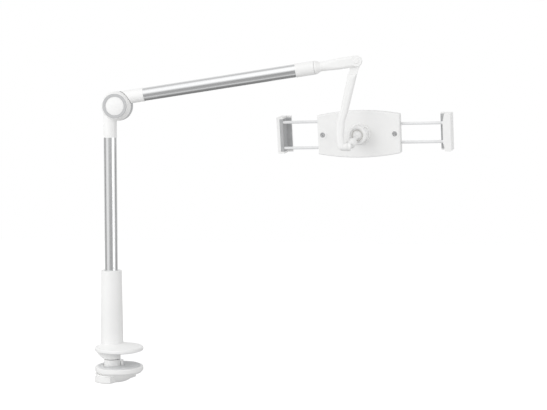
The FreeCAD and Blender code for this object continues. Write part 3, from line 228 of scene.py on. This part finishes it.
# In each finish a grain is its scale, detail and roughness. Its Range is what stretch maps it from and to,
# its Depth is in metres, and its Rough is how far it moves the roughness.

# Moulded plastic: satin skin with a faint orange peel and spark-eroded grain
mould = {
    "fixed": {"IOR": 1.48, "Specular IOR Level": 0.5},
    "cloud": (22, 3),
    "cloudRange": (0.35, 0.65, 0.35, 1.0),
    "cloudRough": 0.12,
    "grain": (2800, 2, 0.6),
    "grainDepth": 0.000012,
    "grainRough": 0.10,
    "peel": (190, 1),
    "peelDepth": 0.00002,
    # how dark the painted shade in a shell groove is, as a share of the dark tone
    "grooveShade": 0.45,
    "grooveDepth": 0.0004,
}


def mouldedPlastic(name, light, dark, rough, split=None, rim=None):
    made, shader, place = newMaterial(name, mould["fixed"])
    cloudy = grain(place, *mould["cloud"])
    fine = grain(place, *mould["grain"])
    peel = grain(place, *mould["peel"])
    tone = blend(dark, light, stretch(cloudy, *mould["cloudRange"]))
    relief = bump(fine, mould["grainDepth"], bump(peel, mould["peelDepth"]))
    if split:
        # Painted shade: the shell groove is darkened as if shade lay in it
        groove = seam(place, *split)
        tone = blend(tone, dimmed(dark, mould["grooveShade"]), groove)
        relief = bump(1 - groove, mould["grooveDepth"], relief)
    # Painted shade: a grey band on the hub's rim stands in for the shade on its side wall
    if rim:
        tone = blend(tone, rim["tone"], shadedRimMask(place, rim))
    connect(
        shader, place,
        Base_Color=tone,
        Roughness=waver(rough, (fine, mould["grainRough"]), (cloudy, mould["cloudRough"])),
        Normal=relief,
    )
    return made


# Drawn and anodised tube: fine lines run along it
tubeSkin = {
    "fixed": {"Metallic": 1.0, "Anisotropic": 0.3},
    "lineSize": 0.0005,
    "lineLength": 0.4,
    "lines": (1.0, 3, 0.6),
    "lineRange": (0.3, 0.7, 0.0, 1.0),
    "lineDepth": 0.000003,
    "lineRough": 0.12,
    "broad": (0.12, 2),
    "broadRough": 0.06,
    "cloud": (60, 3),
    "cloudRough": 0.04,
    "dull": 0.92,
}


def drawnMetal(name, axis, tone, rough):
    made, shader, place = newMaterial(name, tubeSkin["fixed"])
    turn = Vector(axis).rotation_difference(Vector((0, 0, 1))).to_euler()
    aligned = place.node("ShaderNodeMapping", {}, {"Vector": place, "Rotation": turn})
    scale = (1 / tubeSkin["lineSize"], 1 / tubeSkin["lineSize"], 1 / tubeSkin["lineLength"])
    drawn = place.node("ShaderNodeMapping", {}, {"Vector": aligned, "Scale": scale})
    lines = grain(drawn, *tubeSkin["lines"])
    broad = grain(drawn, *tubeSkin["broad"])
    cloudy = grain(place, *tubeSkin["cloud"])
    connect(
        shader, place,
        Base_Color=blend(dimmed(tone, tubeSkin["dull"]), tone, stretch(lines, *tubeSkin["lineRange"])),
        Roughness=waver(rough, (lines, tubeSkin["lineRough"]), (broad, tubeSkin["broadRough"]),
                        (cloudy, tubeSkin["cloudRough"])),
        Normal=bump(lines, tubeSkin["lineDepth"]),
    )
    return made


# Steel and brass fasteners: turned finish with a little tarnish
turning = {
    "fixed": {"Metallic": 1.0},
    "lines": (4000, 2, 0.7),
    "lineDepth": 0.000005,
    "lineRough": 0.14,
    "stain": (240, 4, 0.6),
    "stainRange": (0.3, 0.6, 0.0, 1.0),
    "stainRough": 0.2,
    "dull": 0.72,
}


def turnedMetal(name, tone, rough):
    made, shader, place = newMaterial(name, turning["fixed"])
    lines = grain(place, *turning["lines"])
    stain = grain(place, *turning["stain"])
    connect(
        shader, place,
        Base_Color=blend(dimmed(tone, turning["dull"]), tone, stretch(stain, *turning["stainRange"])),
        Roughness=waver(rough, (lines, turning["lineRough"]), (stain, turning["stainRough"])),
        Normal=bump(lines, turning["lineDepth"]),
    )
    return made


# Soft rubber: dull and slightly dusty, with moulded rings on the clamp's pads
rubberSkin = {
    "fixed": {"IOR": 1.5, "Specular IOR Level": 0.35},
    "dust": (140, 4, 0.6),
    "dustRange": (0.3, 0.7, 0.0, 1.0),
    "dustRough": 0.2,
    "skin": (2600, 2, 0.7),
    "skinDepth": 0.00002,
    "ringPitch": 0.0036,
    "ringFoot": 0.12,  # where a ring starts to rise and where it is full, as shares of the pitch
    "ringTop": 0.3,
    "ringDepth": 0.0003,
}


def softRubber(name, light, dark, rough=0.72, ringed=False):
    made, shader, place = newMaterial(name, rubberSkin["fixed"])
    dust = grain(place, *rubberSkin["dust"])
    skin = grain(place, *rubberSkin["skin"])
    relief = bump(skin, rubberSkin["skinDepth"])
    if ringed:
        pitch = rubberSkin["ringPitch"]
        wave = place.maths("PINGPONG", distance(place, (1, 1, 0)), pitch / 2)
        rings = stretch(wave, pitch * rubberSkin["ringFoot"], pitch * rubberSkin["ringTop"], 0.0, 1.0)
        relief = bump(rings, rubberSkin["ringDepth"], relief)
    connect(
        shader, place,
        Base_Color=blend(dark, light, stretch(dust, *rubberSkin["dustRange"])),
        Roughness=waver(rough, (dust, rubberSkin["dustRough"])),
        Normal=relief,
    )
    return made


# Powder coat on the bent wires
coat = {
    "fixed": {"IOR": 1.5},
    "pebble": (900, 2),
    "pebbleDepth": 0.00002,
    "pebbleRough": 0.2,
    "cloud": (40, 2),
    "cloudRange": (0.3, 0.7, 0.0, 1.0),
}


def powderCoat(name, light, dark, rough):
    made, shader, place = newMaterial(name, coat["fixed"])
    pebble = grain(place, *coat["pebble"])
    cloudy = grain(place, *coat["cloud"])
    connect(
        shader, place,
        Base_Color=blend(dark, light, stretch(cloudy, *coat["cloudRange"])),
        Roughness=waver(rough, (pebble, coat["pebbleRough"])),
        Normal=bump(pebble, coat["pebbleDepth"]),
    )
    return made


# The groove where the plate's two shells meet, with painted shade in it: its direction, its place along it and its
# width
shellSplit = (faceLine, ball.dot(faceLine) + 0.0215, 0.00025)

# Painted shade on the elbow's rim, behind the front half's white edge: a grey band stands in for the shade on the
# rear half's side wall
elbowRimShade = {
    "centre": tuple(joints["elbow_fold"]["pos_m"]),
    "radius": 0.0225,
    "skin": (0.0004, 0.0006),  # how far from the wall it is full, and where it ends
    "depth": (-0.0028, -0.0026),  # where it starts along y, and where it is full
    # the grey of the painted shade
    "tone": (0.45, 0.455, 0.46, 1),
}

# Each plastic, rubber and coat has a light and a dark tone, and then its roughness
white = (0.92, 0.92, 0.915, 1), (0.885, 0.885, 0.88, 1)
tubeTone, tubeRough = (0.80, 0.805, 0.81, 1), 0.24
finishes = {
    "elbowHalf": mouldedPlastic("satin_white_knuckle_rim_shade", *white, 0.36, rim=elbowRimShade),
    "white": mouldedPlastic("satin_white_plastic", *white, 0.36),
    "shell": mouldedPlastic("satin_white_shell_seam_shade", *white, 0.38, split=shellSplit),
    "lowerTube": drawnMetal("anodised_tube_upright", (0, 0, 1), tubeTone, tubeRough),
    "upperTube": drawnMetal("anodised_tube_raised", armLine, tubeTone, tubeRough),
    "grey": mouldedPlastic("grey_trim_plastic", (0.55, 0.555, 0.56, 1), (0.51, 0.515, 0.52, 1), 0.42),
    "padGrey": softRubber("clamp_pad_rubber", (0.78, 0.785, 0.79, 1), (0.73, 0.735, 0.74, 1), 0.7, True),
    "clawGrey": softRubber("claw_pad_rubber", (0.50, 0.505, 0.51, 1), (0.44, 0.445, 0.45, 1)),
    "rubber": softRubber("rest_pad_rubber", (0.40, 0.405, 0.41, 1), (0.34, 0.345, 0.35, 1)),
    "nylon": mouldedPlastic("nylon_bearing", (0.74, 0.73, 0.69, 1), (0.68, 0.67, 0.63, 1), 0.5),
    "steel": turnedMetal("turned_steel", (0.62, 0.625, 0.63, 1), 0.26),
    "wire": powderCoat("coated_wire", (0.84, 0.845, 0.85, 1), (0.79, 0.795, 0.80, 1), 0.38),
    "brass": turnedMetal("turned_brass", (0.80, 0.62, 0.32, 1), 0.24),
}

# Nodes that aren't plain white
nodeFinish = {
    "elbowHalf": ("elbow_lower_knuckle", "elbow_upper_knuckle"),
    "grey": ("elbow_trim_ring",),
    "shell": ("holder_back", "holder_front"),
    "lowerTube": ("lower_tube",),
    "upperTube": ("upper_tube",),
    "padGrey": ("upper_pad", "lower_pad"),
    "clawGrey": ("left_claw_pad", "right_claw_pad"),
    "rubber": ("holder_pads",),
    "nylon": ("foot_bush", "pole_plug", "thrust_washer", "elbow_washer", "ball_liner"),
    "steel": ("column_grub_screw", "guide_rod", "clamp_screw", "screw_clip", "knob_bolt", "pole_clip",
              "elbow_bolt", "elbow_springs", "elbow_nut", "spindle_clip", "cover_screws", "left_springs",
              "right_springs"),
    "wire": ("left_rods", "right_rods"),
    "brass": ("screw_nut",),
}
chosen = {name: finish for finish, names in nodeFinish.items() for name in names}


def paintNodes():
    for name, node in nodes.items():
        finish = finishes[chosen.get(name, "white")]
        if not node.material_slots:
            node.data.materials.append(finish)
        for slot in node.material_slots:
            slot.material = finish


paintNodes()
print("nodes painted")


# A finished piece stands for its CAD node and moves with that node's body
def stand(name, mesh, node, angle=35):
    bmesh.ops.recalc_face_normals(mesh, faces=mesh.faces)
    data = bpy.data.meshes.new(name)
    mesh.to_mesh(data)
    mesh.free()
    for face in data.polygons:
        face.use_smooth = True
    data.set_sharp_from_angle(angle=math.radians(angle))
    data.materials.append(finishes[chosen[node]])
    made = bpy.data.objects.new(name, data)
    bpy.context.scene.collection.objects.link(made)
    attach(made, bodyOf[node])
    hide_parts(node)


# Points nearer than this are one, in a CAD mesh and in a new one, and faces flatter than this merge
merge = {"weld": 0.000001, "close": 0.0000001, "flat": math.radians(1)}


# The node's own shape with its triangles merged into whole faces
def nodeShape(name):
    mesh = bmesh.new()
    mesh.from_mesh(nodes[name].data)
    bmesh.ops.remove_doubles(mesh, verts=mesh.verts, dist=merge["weld"])
    bmesh.ops.dissolve_limit(mesh, angle_limit=merge["flat"], verts=mesh.verts, edges=mesh.edges)
    return mesh


def roundEdges(mesh, width, sharp=50, segments=3):
    picked = [edge for edge in mesh.edges
              if len(edge.link_faces) == 2 and edge.calc_face_angle(0) > math.radians(sharp)]
    bmesh.ops.bevel(mesh, geom=picked, offset=width, offset_type="OFFSET", affect="EDGES",
                    segments=segments, profile=0.5, material=-1, clamp_overlap=True)


# A half-round bar, sunk in what carries it, with rounded ends
def addBar(mesh, middle, line, length, radius, sides=12, rings=8):
    made = bmesh.ops.create_uvsphere(mesh, u_segments=sides, v_segments=rings, radius=radius)["verts"]
    for vert in made:
        if abs(vert.co.z) > merge["close"]:
            vert.co.z += math.copysign(length / 2 - radius, vert.co.z)
    turn = Vector((0, 0, 1)).rotation_difference(line).to_matrix().to_4x4()
    bmesh.ops.transform(mesh, matrix=Matrix.Translation(middle) @ turn, verts=made)


# Turned shape about z, from radii and heights
def lathe(mesh, profile, steps):
    verts = [mesh.verts.new((radius, 0, height)) for radius, height in profile]
    edges = [mesh.edges.new(pair) for pair in zip(verts, verts[1:])]
    bmesh.ops.spin(mesh, geom=verts + edges, cent=(0, 0, 0), axis=(0, 0, 1), dvec=(0, 0, 0),
                   angle=2 * math.pi, steps=steps, use_merge=True)
    bmesh.ops.remove_doubles(mesh, verts=mesh.verts, dist=merge["close"])
    bmesh.ops.dissolve_degenerate(mesh, edges=mesh.edges, dist=merge["close"])


# Winds a closed section, given as radii and heights, round z
def wind(mesh, section, pitch, turns, steps):
    verts = [mesh.verts.new((radius, 0, height)) for radius, height in section]
    edges = [mesh.edges.new(pair) for pair in zip(verts, verts[1:] + verts[:1])]
    made = bmesh.ops.spin(mesh, geom=verts + edges, cent=(0, 0, 0), axis=(0, 0, 1),
                          dvec=(0, 0, pitch / steps), angle=2 * math.pi * turns, steps=round(steps * turns))
    ends = [edge for edge in made["geom_last"] if isinstance(edge, bmesh.types.BMEdge)]
    bmesh.ops.holes_fill(mesh, edges=edges + ends, sides=0)


# A screw head with its face up on z = 0, and a driver's recess of the given outline
def socketHead(mesh, sizes, recess, segments=48):
    radius, edge = sizes["radius"], sizes["edge"]
    bmesh.ops.create_circle(mesh, cap_ends=False, segments=segments, radius=radius - edge)
    rim = list(mesh.edges)
    corners = [mesh.verts.new((x, y, 0)) for x, y in recess]
    mouth = [mesh.edges.new(pair) for pair in zip(corners, corners[1:] + corners[:1])]
    bmesh.ops.triangle_fill(mesh, use_beauty=True, use_dissolve=False, edges=rim + mouth)
    floor = pull(mesh, mouth, 1.0, -sizes["depth"])
    flange = sizes.get("flange", sizes["height"])
    foot = pull(mesh, rim, radius / (radius - edge), -edge)
    foot = pull(mesh, foot, 1.0, edge - flange)
    if "seat" in sizes:  # a washer head: its flange lies on the boss and its seat in the recess
        foot = pull(mesh, foot, sizes["seat"] / radius, 0)
        foot = pull(mesh, foot, 1.0, flange - sizes["height"])
    for ring in (floor, foot):
        bmesh.ops.triangle_fill(mesh, use_beauty=True, use_dissolve=False, edges=ring)


# Extrudes a ring of edges, grows it about z and lowers it
def pull(mesh, ring, grow, drop):
    made = bmesh.ops.extrude_edge_only(mesh, edges=ring)["geom"]
    verts = [part for part in made if isinstance(part, bmesh.types.BMVert)]
    bmesh.ops.scale(mesh, vec=(grow, grow, 1), verts=verts)
    bmesh.ops.translate(mesh, vec=(0, 0, drop), verts=verts)
    return [part for part in made if isinstance(part, bmesh.types.BMEdge)]


def hexagon(radius):
    turns = [math.radians(60 * corner) for corner in range(6)]
    return [(radius * math.cos(turn), radius * math.sin(turn)) for turn in turns]


# Three corners of one arm, and the same turned by quarters
def cross(reach, width):
    half = width / 2
    arm = [(half, half), (half, reach), (-half, reach)]
    corners = []
    for quarter in range(4):
        corners += arm
        arm = [(-y, x) for x, y in arm]
    return corners


def moved(mesh, matrix):
    bmesh.ops.transform(mesh, matrix=matrix, verts=mesh.verts)
    return mesh


def merged(meshes):
    whole = bmesh.new()
    for mesh in meshes:
        data = bpy.data.meshes.new("loose")
        mesh.to_mesh(data)
        mesh.free()
        whole.from_mesh(data)
        bpy.data.meshes.remove(data)
    return whole


# Pads of the clamp: soft discs with rounded rims
clampPads = {"edge": 0.0004}


def makeClampPads():
    for name in ("upper_pad", "lower_pad"):
        mesh = nodeShape(name)
        roundEdges(mesh, clampPads["edge"])
        stand(name + "_rubber", mesh, name)


makeClampPads()
print("clamp pads made")

# Rest pads on the plate: rounded, with ridges that grip the device
restPads = {
    "edge": 0.0006,
    "middle": -0.0024,
    "spacing": 0.082,
    "drop": 0.0008,
    "face": 0.0305,
    "ridges": 8,
    "pitch": 0.0032,
    "length": 0.036,
    "radius": 0.0009,
    "proud": 0.00022,
}


def makeRestPads():
    mesh = nodeShape("holder_pads")
    roundEdges(mesh, restPads["edge"])
    deep = restPads["face"] + restPads["proud"] - restPads["radius"]
    for side in (-1, 1):
        for ridge in range(restPads["ridges"]):
            across = (ridge - (restPads["ridges"] - 1) / 2) * restPads["pitch"]
            across += restPads["middle"] + side * restPads["spacing"] / 2
            spot = holderFrame @ Vector((across, deep, -restPads["drop"]))
            addBar(mesh, spot, upLine, restPads["length"], restPads["radius"])
    stand("holder_pads_rubber", mesh, "holder_pads")


makeRestPads()
print("rest pads made")

# Soft blocks in the claws: rounded, with ridges along the groove
clawPads = {
    "edge": 0.0005,
    "leftWall": -0.12305,
    "rightWall": 0.12905,
    "drop": 0.0008,
    "ridges": (0.0320, 0.0334, 0.0348, 0.0362),
    "length": 0.046,
    "radius": 0.0005,
    "proud": 0.0002,
}


def makeClawPads():
    for side, inward in (("left", 1), ("right", -1)):
        mesh = nodeShape(side + "_claw_pad")
        roundEdges(mesh, clawPads["edge"])
        wall = clawPads[side + "Wall"] + inward * (clawPads["proud"] - clawPads["radius"])
        for deep in clawPads["ridges"]:
            spot = holderFrame @ Vector((wall, deep, -clawPads["drop"]))
            addBar(mesh, spot, upLine, clawPads["length"], clawPads["radius"])
        stand(side + "_claw_rubber", mesh, side + "_claw_pad")


makeClawPads()
print("claw pads made")

# Clamp screw: smooth shank in the knob, then a coarse thread up the column
clampScrew = {
    "x": -0.006,
    "foot": -0.0427,
    "shank": 0.005,
    "bore": 0.0025,
    "boreEnd": -0.0267,
    "groove": (-0.017, -0.0157, 0.0042),
    "core": 0.0043,
    "crest": 0.00495,
    "top": 0.076,
    "chamfer": 0.001,
    "sides": 48,
    "threadStart": -0.0135,
    "threadSink": 0.0002,
    "crestFrom": 0.16,  # where the thread's flanks turn, as shares of the pitch
    "crestTo": 0.46,
    "rootTo": 0.62,
    "pitch": 0.004,
    "turns": 22,
    "steps": 36,
}


def makeClampScrew():
    low, high, neck = clampScrew["groove"]
    foot, shank = clampScrew["foot"], clampScrew["shank"]
    bore, boreEnd = clampScrew["bore"], clampScrew["boreEnd"]
    core, top, chamfer = clampScrew["core"], clampScrew["top"], clampScrew["chamfer"]
    rod = bmesh.new()
    lathe(rod, [
        (0, boreEnd), (bore, boreEnd), (bore, foot), (shank, foot), (shank, low), (neck, low),
        (neck, high), (core, high), (core, top - chamfer), (core - chamfer, top), (0, top),
    ], clampScrew["sides"])
    thread = bmesh.new()
    start, pitch = clampScrew["threadStart"], clampScrew["pitch"]
    root, crest = core - clampScrew["threadSink"], clampScrew["crest"]
    wind(thread, [
        (root, start), (crest, start + pitch * clampScrew["crestFrom"]),
        (crest, start + pitch * clampScrew["crestTo"]), (root, start + pitch * clampScrew["rootTo"]),
    ], pitch, clampScrew["turns"], clampScrew["steps"])
    whole = moved(merged([rod, thread]), Matrix.Translation((clampScrew["x"], 0, 0)))
    stand("clamp_screw_threaded", whole, "clamp_screw")


makeClampScrew()
print("clamp screw made")

# Coil springs on the wires inside the plate
springs = {
    "left": {"from": -0.05415, "to": -0.020, "deep": 0.0189, "spread": 0.02025},
    "right": {"from": 0.017, "to": 0.04935, "deep": 0.0241, "spread": 0.0143},
    "drop": 0.0008,
    "coil": 0.00252,
    "wire": 0.00017,
    "pitch": 0.00075,
    "steps": 18,
    "sides": 6,
    "sharp": 60,
}


def makeSprings():
    coil, wire, pitch, sides = springs["coil"], springs["wire"], springs["pitch"], springs["sides"]
    turns = [2 * math.pi * step / sides for step in range(sides)]
    section = [(coil + wire * math.cos(turn), wire * (1 + math.sin(turn))) for turn in turns]
    lay = Matrix.Rotation(math.pi / 2, 4, "Y")
    for side in ("left", "right"):
        run = springs[side]
        length = run["to"] - run["from"] - 2 * wire
        coils = []
        for way in (-1, 1):
            mesh = bmesh.new()
            wind(mesh, section, pitch, length / pitch, springs["steps"])
            spot = Vector((run["from"], run["deep"], -springs["drop"] + way * run["spread"]))
            coils.append(moved(mesh, holderFrame @ Matrix.Translation(spot) @ lay))
        stand(side + "_springs_coiled", merged(coils), side + "_springs", springs["sharp"])


makeSprings()
print("springs made")

# Fasteners with driver recesses
coverScrew = {
    "radius": 0.0040,
    "height": 0.0025,
    "edge": 0.0003,
    "flange": 0.0005,
    "seat": 0.0032,
    "reach": 0.0023,
    "width": 0.001,
    "depth": 0.0014,
    "shank": 0.0015,
    "length": 0.009,
    "middle": -0.0024,
    "spacing": 0.1134,
    "drop": 0.0008,
    "face": 0.0129,
    "leftTurn": -15,  # degrees that each recess is turned by
    "rightTurn": 55,
}
knobBolt = {
    "radius": 0.0045,
    "height": 0.003,
    "edge": 0.0004,
    "hex": 0.0023,
    "depth": 0.002,
    "shank": 0.0025,
    "length": 0.018,
    "place": (-0.006, 0, -0.0477),
}
grubScrew = {
    "radius": 0.0025,
    "height": 0.0058,
    "edge": 0.0003,
    "hex": 0.0014,
    "depth": 0.0025,
    "place": (-0.011, 0.0164, 0.0212),
}
screwShank = {
    "start": 0.9,  # inside the head, as a share of its height
    "chamfer": 0.0005,
    "sides": 32,
}


def screwMesh(sizes, recess):
    head = bmesh.new()
    socketHead(head, sizes, recess)
    if "length" not in sizes:
        return head
    radius, chamfer = sizes["shank"], screwShank["chamfer"]
    start = -sizes["height"] * screwShank["start"]
    foot = -sizes["height"] - sizes["length"]
    shank = bmesh.new()
    lathe(shank, [(0, start), (radius, start), (radius, foot + chamfer), (radius - chamfer, foot), (0, foot)],
          screwShank["sides"])
    return merged([head, shank])


def makeFasteners():
    heads = []
    out = Matrix.Rotation(math.pi / 2, 4, "X")
    for side, turn in ((-1, coverScrew["leftTurn"]), (1, coverScrew["rightTurn"])):
        across = coverScrew["middle"] + side * coverScrew["spacing"] / 2
        spot = Vector((across, coverScrew["face"], -coverScrew["drop"]))
        screw = screwMesh(coverScrew, cross(coverScrew["reach"], coverScrew["width"]))
        spin = Matrix.Rotation(math.radians(turn), 4, "Z")
        heads.append(moved(screw, holderFrame @ Matrix.Translation(spot) @ out @ spin))
    stand("cover_screws_crossed", merged(heads), "cover_screws")
    down = Matrix.Translation(knobBolt["place"]) @ Matrix.Rotation(math.pi, 4, "X")
    stand("knob_bolt_socket", moved(screwMesh(knobBolt, hexagon(knobBolt["hex"])), down), "knob_bolt")
    back = Matrix.Translation(grubScrew["place"]) @ Matrix.Rotation(-math.pi / 2, 4, "X")
    grub = moved(screwMesh(grubScrew, hexagon(grubScrew["hex"])), back)
    stand("column_grub_socket", grub, "column_grub_screw")


makeFasteners()
print("fasteners made")

# Studio: pale floor, bright room in front, dimmer behind, with broad lights that show in the metal
studio = {
    "floorSize": 5.0,
    "floorDrop": 0.053,  # room below for the lower jaw's travel and the folded arm
    "floorFixed": {"Roughness": 0.9, "Specular IOR Level": 0.1, "Emission Strength": 1.0},
    "floorTone": (0.70, 0.70, 0.70, 1),
    "floorDim": 0.985,
    "floorCloud": (3, 2),
    "floorMirror": (0.30, 0.30, 0.30, 1),
    "floorGlow": 0.50,
    "floorReach": (1.1, 1.2),  # past it, metal sees the room through the floor
    "floorBands": (-0.88, 0.22),  # what metal sees in the floor, from the front to the back
    "floorStops": (
        (0.0, 0.18), (0.40, 0.18), (0.46, 0.52), (0.62, 0.52),
        (0.70, 0.16), (0.82, 0.0), (1.0, 0.0),
    ),
    "roomFront": 0.98,
    "roomBack": 0.70,
    "leftShare": 0.07,
    "topShare": -0.08,
    "mirrorBase": 0.40,
    "mirrorFields": (  # what metal sees round it: direction, edge and full as cosines, and gain
        ((-0.69, -0.72, 0.0), 0.80, 0.96, 0.62),  # front left
        ((0.91, -0.41, 0.0), 0.84, 0.97, 0.90),  # right
        ((0.10, -0.68, 0.72), 0.62, 0.90, 0.95),  # over the front
        ((-0.23, 0.97, 0.0), 0.35, 0.95, 0.62),  # behind
        ((-0.10, 0.35, 0.93), 0.80, 0.97, 0.28),  # above
    ),
    "leftBox": {"place": (-1.35, -1.45, 0.95), "size": (1.5, 1.5), "watts": 13, "mirrored": False},
    "rightStrip": {"place": (1.75, -1.1, 0.55), "size": (0.22, 1.7), "watts": 3, "mirrored": True},
    "aim": (0.22, 0, 0.2),
}


# Glows to the camera, shows bands to metal nearby, and lets metal's view through farther out
def floorPlane():
    mesh = bmesh.new()
    bmesh.ops.create_grid(mesh, x_segments=1, y_segments=1, size=studio["floorSize"] / 2)
    data = bpy.data.meshes.new("floor")
    mesh.to_mesh(data)
    mesh.free()
    data.transform(Matrix.Translation((studio["aim"][0], 0, cadBox[0][2] - studio["floorDrop"])))
    made = bpy.data.objects.new("floor", data)
    bpy.context.scene.collection.objects.link(made)
    material, shader, place = newMaterial("floor_paint", studio["floorFixed"])
    seen = place.node("ShaderNodeLightPath", output="Is Camera Ray")
    glossy = place.node("ShaderNodeLightPath", output="Is Glossy Ray")
    tone = studio["floorTone"]
    paint = blend(dimmed(tone, studio["floorDim"]), tone, grain(place, *studio["floorCloud"]))
    deep = stretch(along(place, (0, 1, 0)), *studio["floorBands"], 0.0, 1.0)
    bands = place.node("ShaderNodeValToRGB", {"stops": studio["floorStops"]}, {"Fac": deep})
    past = stretch(distance(place), *studio["floorReach"], 0.0, 1.0)
    connect(
        shader, place,
        Base_Color=blend(paint, studio["floorMirror"], glossy),
        Emission_Color=seen * studio["floorGlow"] + glossy * bands,
        Alpha=1 - glossy * past,
    )
    data.materials.append(material)


# Soft light on dull surfaces, bright fields in metal, and plain white to the camera
def room():
    world = bpy.data.worlds.new("room")
    world.use_nodes = True
    bpy.context.scene.world = world
    tree = world.node_tree
    tree.nodes.clear()
    out = tree.nodes.new("ShaderNodeOutputWorld").inputs["Surface"]
    start = Shade(tree, out)
    way = start.node("ShaderNodeTexCoord", output="Generated")
    deep = along(way, (0, 1, 0))
    left = along(way, (-1, 0, 0))
    up = along(way, (0, 0, 1))
    soft = stretch(deep, -1, 1, studio["roomFront"], studio["roomBack"])
    soft = soft + left * studio["leftShare"] + up * studio["topShare"]
    mirror = studio["mirrorBase"]
    for line, edge, full, gain in studio["mirrorFields"]:
        facing = along(way, Vector(line).normalized())
        mirror = mirror + stretch(facing, edge, full, 0.0, gain)
    glossy = start.node("ShaderNodeLightPath", output="Is Glossy Ray")
    seen = start.node("ShaderNodeLightPath", output="Is Camera Ray")
    through = start.node("ShaderNodeLightPath", output="Is Transmission Ray")
    clear = seen + through
    level = soft * (1 - glossy) + mirror * glossy
    level = level * (1 - clear) + clear
    light = start.node("ShaderNodeBackground", {}, {"Color": (1, 1, 1, 1), "Strength": level})
    feed(tree, out, light)


def softBox(name, box):
    data = bpy.data.lights.new(name, "AREA")
    data.shape = "RECTANGLE"
    data.size = box["size"][0]
    data.size_y = box["size"][1]
    data.energy = box["watts"]
    made = bpy.data.objects.new(name, data)
    away = Vector(box["place"]) - Vector(studio["aim"])
    made.matrix_world = Matrix.Translation(box["place"]) @ away.to_track_quat("Z", "Y").to_matrix().to_4x4()
    made.visible_glossy = box["mirrored"]
    bpy.context.scene.collection.objects.link(made)


floorPlane()
room()
softBox("left_box", studio["leftBox"])
softBox("right_strip", studio["rightStrip"])
bpy.context.scene.view_settings.view_transform = "Standard"
print("studio set")
